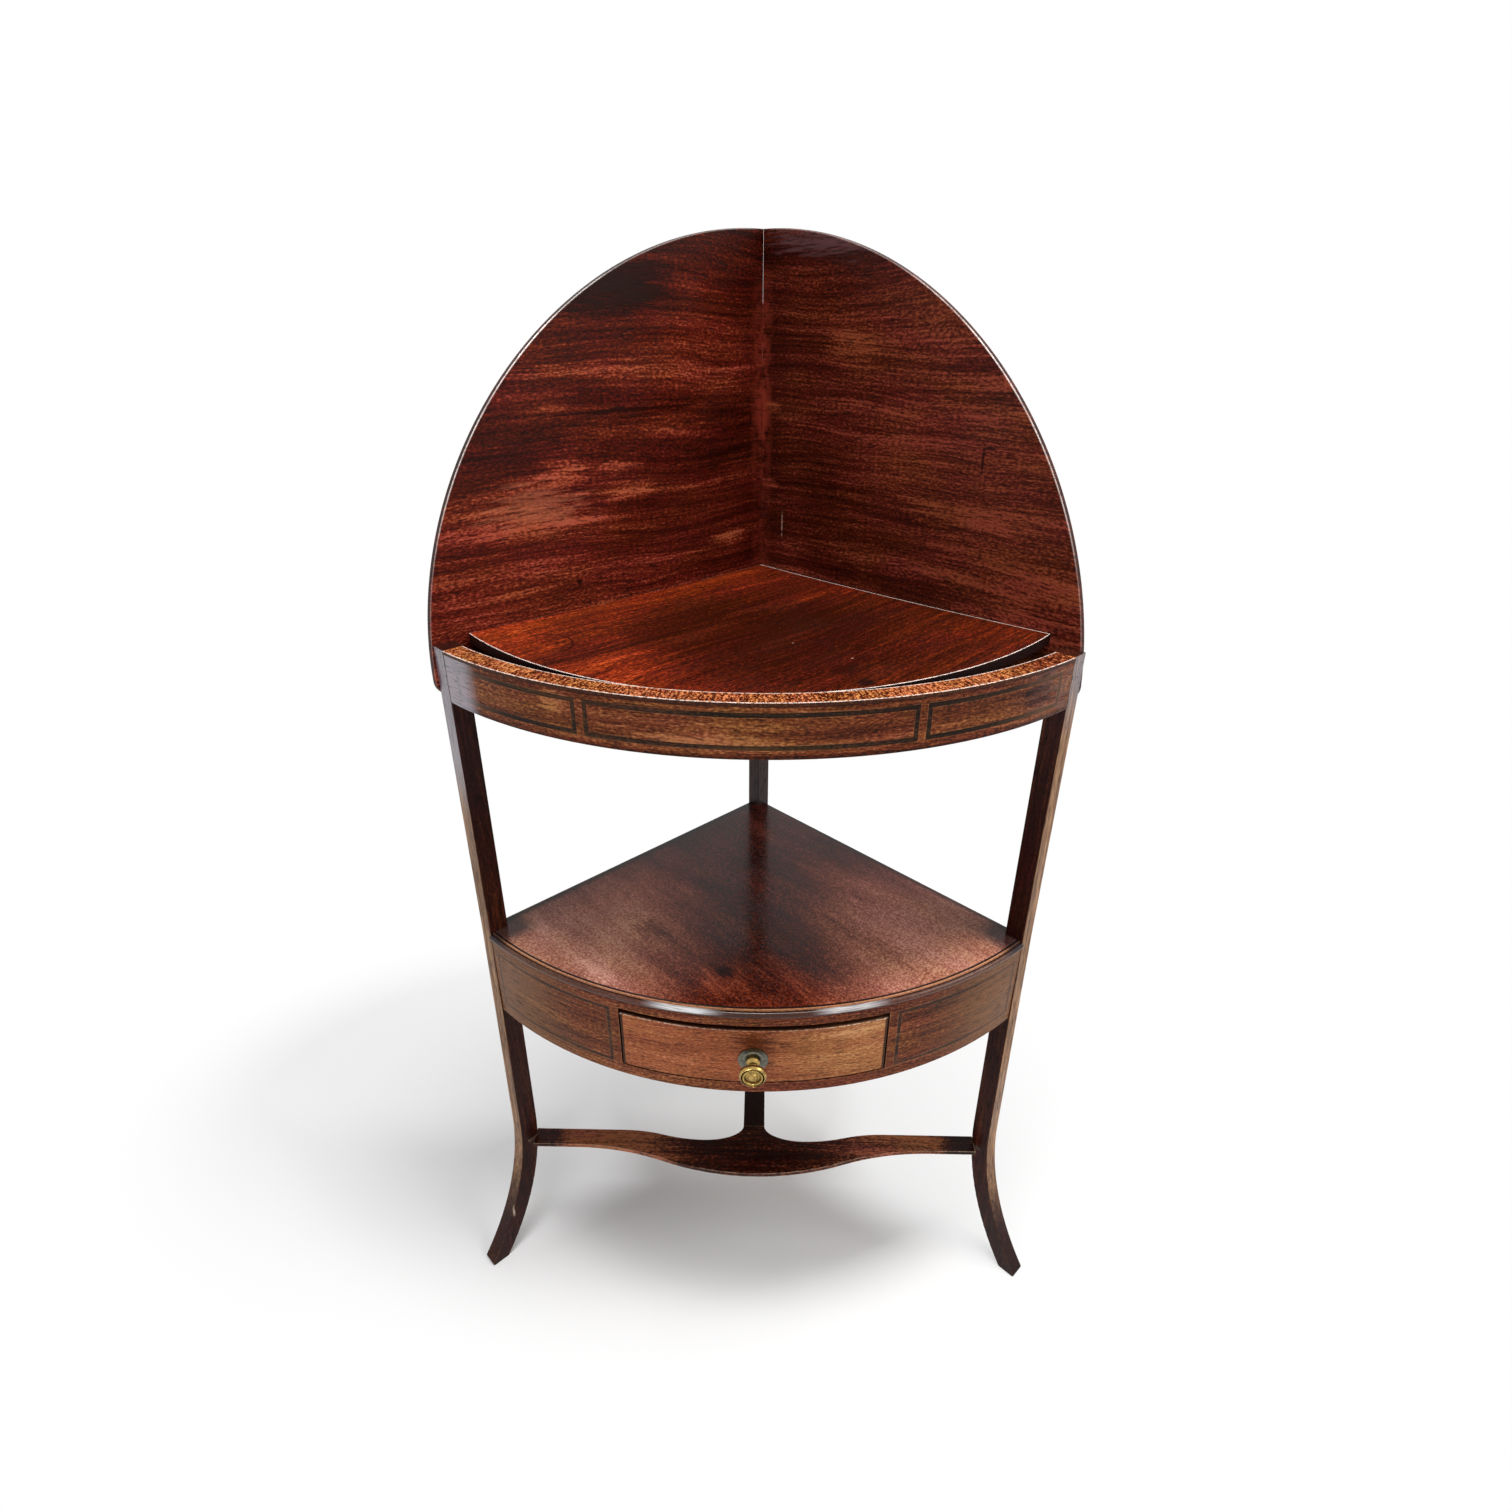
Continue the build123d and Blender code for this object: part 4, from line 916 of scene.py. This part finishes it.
# The arm is darker: painted shade under the lower tier
stretcher_arm = Stretcher(
    "mahogany_stretcher_arm", "deep", STRETCHER_STOPS, 10.0, lift=-0.47,
    weights=(0.06, 0.05, 0.05, 0.05, 0.08), wear_amount=0.2).material()
string = Stringing("dark_string", "bow", STRING_STOPS, 17.0).material()
faded_string = Stringing("faded_string", "bow", FADED_STRING_STOPS, 18.0).material()
seam_dirt = Wood(
    "seam_dirt", "upright", SEAM_STOPS, 19.0, scales=((30.0, 30.0, 30.0),) * 5,
    weights=(0.1, 0.02, 0.02, 0.1, 0.02)).material()

INNER_LOOK = {"roughness": (0.45, 0.6)}
inner_left = Wood("mahogany_inner_left", "left", INNER_STOPS, 11.0, **INNER_LOOK).material()
inner_right = Wood("mahogany_inner_right", "right", INNER_STOPS, 12.0, **INNER_LOOK).material()
inner_flat = Wood("mahogany_inner_flat", "flat_left", INNER_STOPS, 13.0, **INNER_LOOK).material()

PALE_LOOK = {"roughness": (0.55, 0.75), "tints": ((1.0, 0.97, 1.0), (1.0, 1.02, 0.96))}
pale_deep = Wood("secondary_wood_deep", "deep", PALE_STOPS, 14.0, **PALE_LOOK).material()
pale_wide = Wood("secondary_wood_wide", "wide", PALE_STOPS, 15.0, **PALE_LOOK).material()
pale_left = Wood("secondary_wood_left", "left", PALE_STOPS, 16.0, **PALE_LOOK).material()


# Metals
def brass(name, deep, bright, roughness):
    """Old brass, bright where it is handled and dark in its hollows."""
    t = new_material(name)
    stain = t.noise(t.coordinate("Object"), 300.0, detail=5.0, roughness=0.65)
    hollow = t.add("ShaderNodeAmbientOcclusion", {"Distance": 0.0035}, samples=8).outputs["AO"]
    clean = t.product(t.span(hollow, 0.35, 0.95), t.span(stain, 0.32, 0.6, 0.35, 1.0))
    colour = t.mix(clean, linear(*deep), linear(*bright))
    rough = t.span(clean, 0.0, 1.0, roughness + 0.25, roughness)
    return t.close(t.add("ShaderNodeBsdfPrincipled", {
        "Base Color": colour, "Metallic": 1.0, "Roughness": rough}))


def steel(name, deep, bright):
    """Dull old screws."""
    t = new_material(name)
    stain = t.noise(t.coordinate("Object"), 600.0, detail=3.0)
    colour = t.mix(t.span(stain, 0.35, 0.65), linear(*deep), linear(*bright))
    rough = t.span(stain, 0.3, 0.7, 0.6, 0.35)
    return t.close(t.add("ShaderNodeBsdfPrincipled", {
        "Base Color": colour, "Metallic": 1.0, "Roughness": rough}))


bright_brass = brass("brass_knob", (34, 25, 10), (192, 158, 92), 0.18)
dull_brass = brass("brass_backplate", (22, 22, 19), (118, 116, 104), 0.22)
old_steel = steel("screw_steel", (62, 48, 38), (128, 118, 106))

# Which pieces have each look, and the record's slot for it
LOOKS = (
    (panel_left, "mahogany_panel", ("splash_panel_left",)),
    (panel_right, "mahogany_panel", ("splash_panel_right",)),
    (lid, "mahogany_lid", ("lid_board",)),
    (leg, "mahogany_leg", ("front_leg_left", "front_leg_right", "back_leg")),
    (rim, "mahogany_crossband", ("rim_band_left", "rim_band_centre", "rim_band_right")),
    (frieze, "mahogany_frieze", ("upper_bow_rail", "lower_top_rail", "lower_bottom_rail",
                                 "lower_panel_left", "lower_panel_right")),
    (shelf, "mahogany_shelf", ("shelf_board",)),
    (drawer, "mahogany_drawer", ("drawer_front",)),
    (stretcher, "mahogany_stretcher", ("stretcher_front",)),
    (stretcher_arm, "mahogany_stretcher", ("stretcher_arm",)),
    (inner_left, "mahogany_inner", ("upper_side_rail_left", "lower_side_rail_left")),
    (inner_right, "mahogany_inner", ("upper_side_rail_right", "lower_side_rail_right")),
    (inner_flat, "mahogany_inner", ("basin_board",)),
    (pale_wide, "secondary_wood", ("basin_board_blocks", "drawer_stops", "drawer_back",
                                   "drawer_bottom")),
    (pale_left, "secondary_wood", ("shelf_blocks",)),
    (pale_deep, "secondary_wood", ("drawer_runner_left", "drawer_runner_right", "drawer_guide_left",
                                   "drawer_guide_right", "drawer_side_left", "drawer_side_right")),
    (string, "dark_string", ("upper_stringing",)),
    (faded_string, "dark_string", ("lower_stringing",)),
    (bright_brass, "brass", ("knob",)),
    (dull_brass, "brass", ("knob_backplate", "knob_post", "knob_nut")),
    (old_steel, "screw_steel", ("splash_screws",)),
)
for look, slot, names in LOOKS:
    for name in names:
        mesh = nodes[name].data
        if not mesh.materials:
            mesh.materials.append(look)
        for index in range(len(mesh.materials)):
            mesh.materials[index] = look


# Dirt and old glue that close the seam of the splash panels below SEAM_TOP
SEAM_TOP = 1.047
SEAM_BOTTOM = FRIEZE_BOTTOM + 0.002
SEAM_DEPTH = 0.0083
SEAM_HALF_WIDTH = 0.0001
SEAM_RECESS = 0.0002
SEAM_UNEVENNESS = 0.00015
SEAM_STEPS = 80


def seam_fill():
    """A closed ribbon in the mitre, with an uneven front edge."""
    points, faces = [], []
    for step in range(SEAM_STEPS + 1):
        share = step / SEAM_STEPS
        height = SEAM_BOTTOM + share * (SEAM_TOP - SEAM_BOTTOM)
        recess = SEAM_RECESS + SEAM_UNEVENNESS * math.sin(47.0 * share) * math.sin(19.0 * share + 1.0)
        front = CORNER_SETBACK + recess
        back = CORNER_SETBACK + SEAM_DEPTH
        points.append((-SEAM_HALF_WIDTH, front, height))
        points.append((SEAM_HALF_WIDTH, front, height))
        points.append((SEAM_HALF_WIDTH, back, height))
        points.append((-SEAM_HALF_WIDTH, back, height))
    for step in range(SEAM_STEPS):
        low = 4 * step
        for side in range(4):
            near, far = low + side, low + (side + 1) % 4
            faces.append((near, far, far + 4, near + 4))
    faces.append((3, 2, 1, 0))
    top = 4 * SEAM_STEPS
    faces.append((top, top + 1, top + 2, top + 3))
    mesh = bpy.data.meshes.new("seam_fill")
    mesh.from_pydata(points, [], faces)
    mesh.materials.append(seam_dirt)
    obj = bpy.data.objects.new("seam_fill", mesh)
    bpy.context.scene.collection.objects.link(obj)
    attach(obj, "frame")


seam_fill()


# Floor, world and lamps
# BEHIND, BESIDE_SHADOW and BESIDE_LEFT are spans in metres, FLOOR_EDGE is one in FLOOR_HALF
FLOOR_RADIUS = 9.0
FLOOR_SIDES = 96
FLOOR_GREY = 0.95
FLOOR_MIDDLE = (-0.12, 0.12)
FLOOR_HALF = (1.25, 2 / 3)
FLOOR_EDGE = (0.36, 0.66)
# Behind the object and beside its shadow the floor glows white, painted light that lightens the shadow
BEHIND = (-0.03, 0.13, 0.0, 0.42)
SHADOW_MIDDLE = -0.04
SHADOW_FRONT = -0.01
SHADOW_SLOPE = 1.4
BESIDE_SHADOW = (0.06, 0.22)
BESIDE_LEFT = (-0.38, -0.16, 0.15, 1.0)
BESIDE_AMOUNT = 0.65
WORLD_COLOUR = (0.97, 0.98, 1.0, 1.0)
WORLD_STRENGTH = 0.18
WHITE = (1.0, 1.0, 1.0)


def white_rays(t):
    """1 for the rays that show the background: camera, glossy and transmission."""
    path = t.add("ShaderNodeLightPath").outputs
    seen = t.math("MAXIMUM", path["Is Camera Ray"], path["Is Glossy Ray"])
    return t.math("MAXIMUM", seen, path["Is Transmission Ray"])


def floor_fade(t):
    """How far the floor has faded to plain white: fully away from the object, and partly
    behind it and beside its shadow, where the white is painted light that lightens the shadow."""
    away = t.ellipse(t.coordinate("Object"), FLOOR_MIDDLE, FLOOR_HALF)
    x, y, _ = t.place()
    behind = t.span(y, *BEHIND, smooth=True)
    forward = t.math("MINIMUM", t.math("ADD", y, -SHADOW_FRONT), 0.0)
    from_shadow = t.plus(t.size(t.math("ADD", x, -SHADOW_MIDDLE)), forward, SHADOW_SLOPE)
    beside = t.product(t.span(from_shadow, *BESIDE_SHADOW, smooth=True),
                       t.span(x, *BESIDE_LEFT), BESIDE_AMOUNT)
    partly = t.math("MAXIMUM", behind, beside)
    return t.math("MAXIMUM", t.span(away, *FLOOR_EDGE, smooth=True), partly)


def pale_floor():
    t = new_material("pale_floor")
    paint = t.add("ShaderNodeBsdfDiffuse", {"Color": (FLOOR_GREY, FLOOR_GREY, FLOOR_GREY, 1.0)})
    glow = t.add("ShaderNodeEmission", {"Color": (*WHITE, 1.0), "Strength": 1.0})
    fade = t.product(floor_fade(t), white_rays(t))
    look = t.close(t.add("ShaderNodeMixShader", {0: fade, 1: paint.outputs[0], 2: glow.outputs[0]}))
    turns = [2 * math.pi * side / FLOOR_SIDES for side in range(FLOOR_SIDES)]
    ring = [(FLOOR_RADIUS * math.cos(turn), FLOOR_RADIUS * math.sin(turn), 0.0) for turn in turns]
    mesh = bpy.data.meshes.new("floor")
    mesh.from_pydata(ring, [], [list(range(FLOOR_SIDES))])
    mesh.materials.append(look)
    floor = bpy.data.objects.new("floor", mesh)
    bpy.context.scene.collection.objects.link(floor)


def studio_world():
    """White where it is seen, and a weak cool light on the object."""
    t = Tree(bpy.data.worlds.new("studio"), "ShaderNodeOutputWorld")
    shown = t.add("ShaderNodeBackground", {"Color": (*WHITE, 1.0), "Strength": 1.0})
    lit = t.add("ShaderNodeBackground", {"Color": WORLD_COLOUR, "Strength": WORLD_STRENGTH})
    both = t.add("ShaderNodeMixShader", {0: white_rays(t), 1: lit.outputs[0], 2: shown.outputs[0]})
    bpy.context.scene.world = t.close(both)


def put(obj, place, turn):
    """Puts an object at a place, turned by a quaternion, and links it to the scene."""
    obj.location = place
    obj.rotation_mode = "QUATERNION"
    obj.rotation_quaternion = turn
    bpy.context.scene.collection.objects.link(obj)


def lamp(name, place, target, size, energy, colour=WHITE):
    """A rectangular lamp that points at a target. Its energy is in watts."""
    data = bpy.data.lights.new(name, "AREA")
    data.shape = "RECTANGLE"
    data.size, data.size_y = size
    data.energy = energy
    data.color = colour
    direction = Vector(target) - Vector(place)
    put(bpy.data.objects.new(name, data), place, direction.to_track_quat("-Z", "Y"))


MIDDLE = (0.0, 0.0, 0.6)
pale_floor()
studio_world()
lamp("key", (2.3, -0.8, 2.3), MIDDLE, (1.6, 1.6), 42.0, (1.0, 0.98, 0.95))
lamp("fill", (-1.2, -3.0, 1.5), MIDDLE, (1.4, 1.4), 28.0, (0.97, 0.98, 1.0))
lamp("top", (0.15, -0.32, 3.0), (0.0, 0.0, 0.4), (1.1, 0.55), 58.0)

# Camera, as it stood for the photograph. The angles are in radians
CAMERA_PLACE = (0.0073, -0.7821, 1.0316)
YAW, PITCH, ROLL = -0.0186, 0.4773, 0.0037
LENS, SENSOR_WIDTH = 20.47, 36.0
SHIFT_X, SHIFT_Y = 0.0038, 0.0060


def photo_camera():
    level = Vector((math.sin(YAW), math.cos(YAW), 0.0))
    ahead = math.cos(PITCH) * level - math.sin(PITCH) * Vector((0.0, 0.0, 1.0))
    side = ahead.cross(Vector((0.0, 0.0, 1.0))).normalized()
    above = side.cross(ahead)
    right = math.cos(ROLL) * side + math.sin(ROLL) * above
    up = -math.sin(ROLL) * side + math.cos(ROLL) * above
    data = bpy.data.cameras.new("camera")
    data.sensor_width = SENSOR_WIDTH
    data.lens = LENS
    data.shift_x, data.shift_y = SHIFT_X, SHIFT_Y
    data.clip_start, data.clip_end = 0.02, 60.0
    camera = bpy.data.objects.new("camera", data)
    put(camera, CAMERA_PLACE, Matrix((right, up, -ahead)).transposed().to_quaternion())
    return camera


bpy.context.scene.camera = photo_camera()
bpy.context.scene.view_settings.view_transform = "Standard"
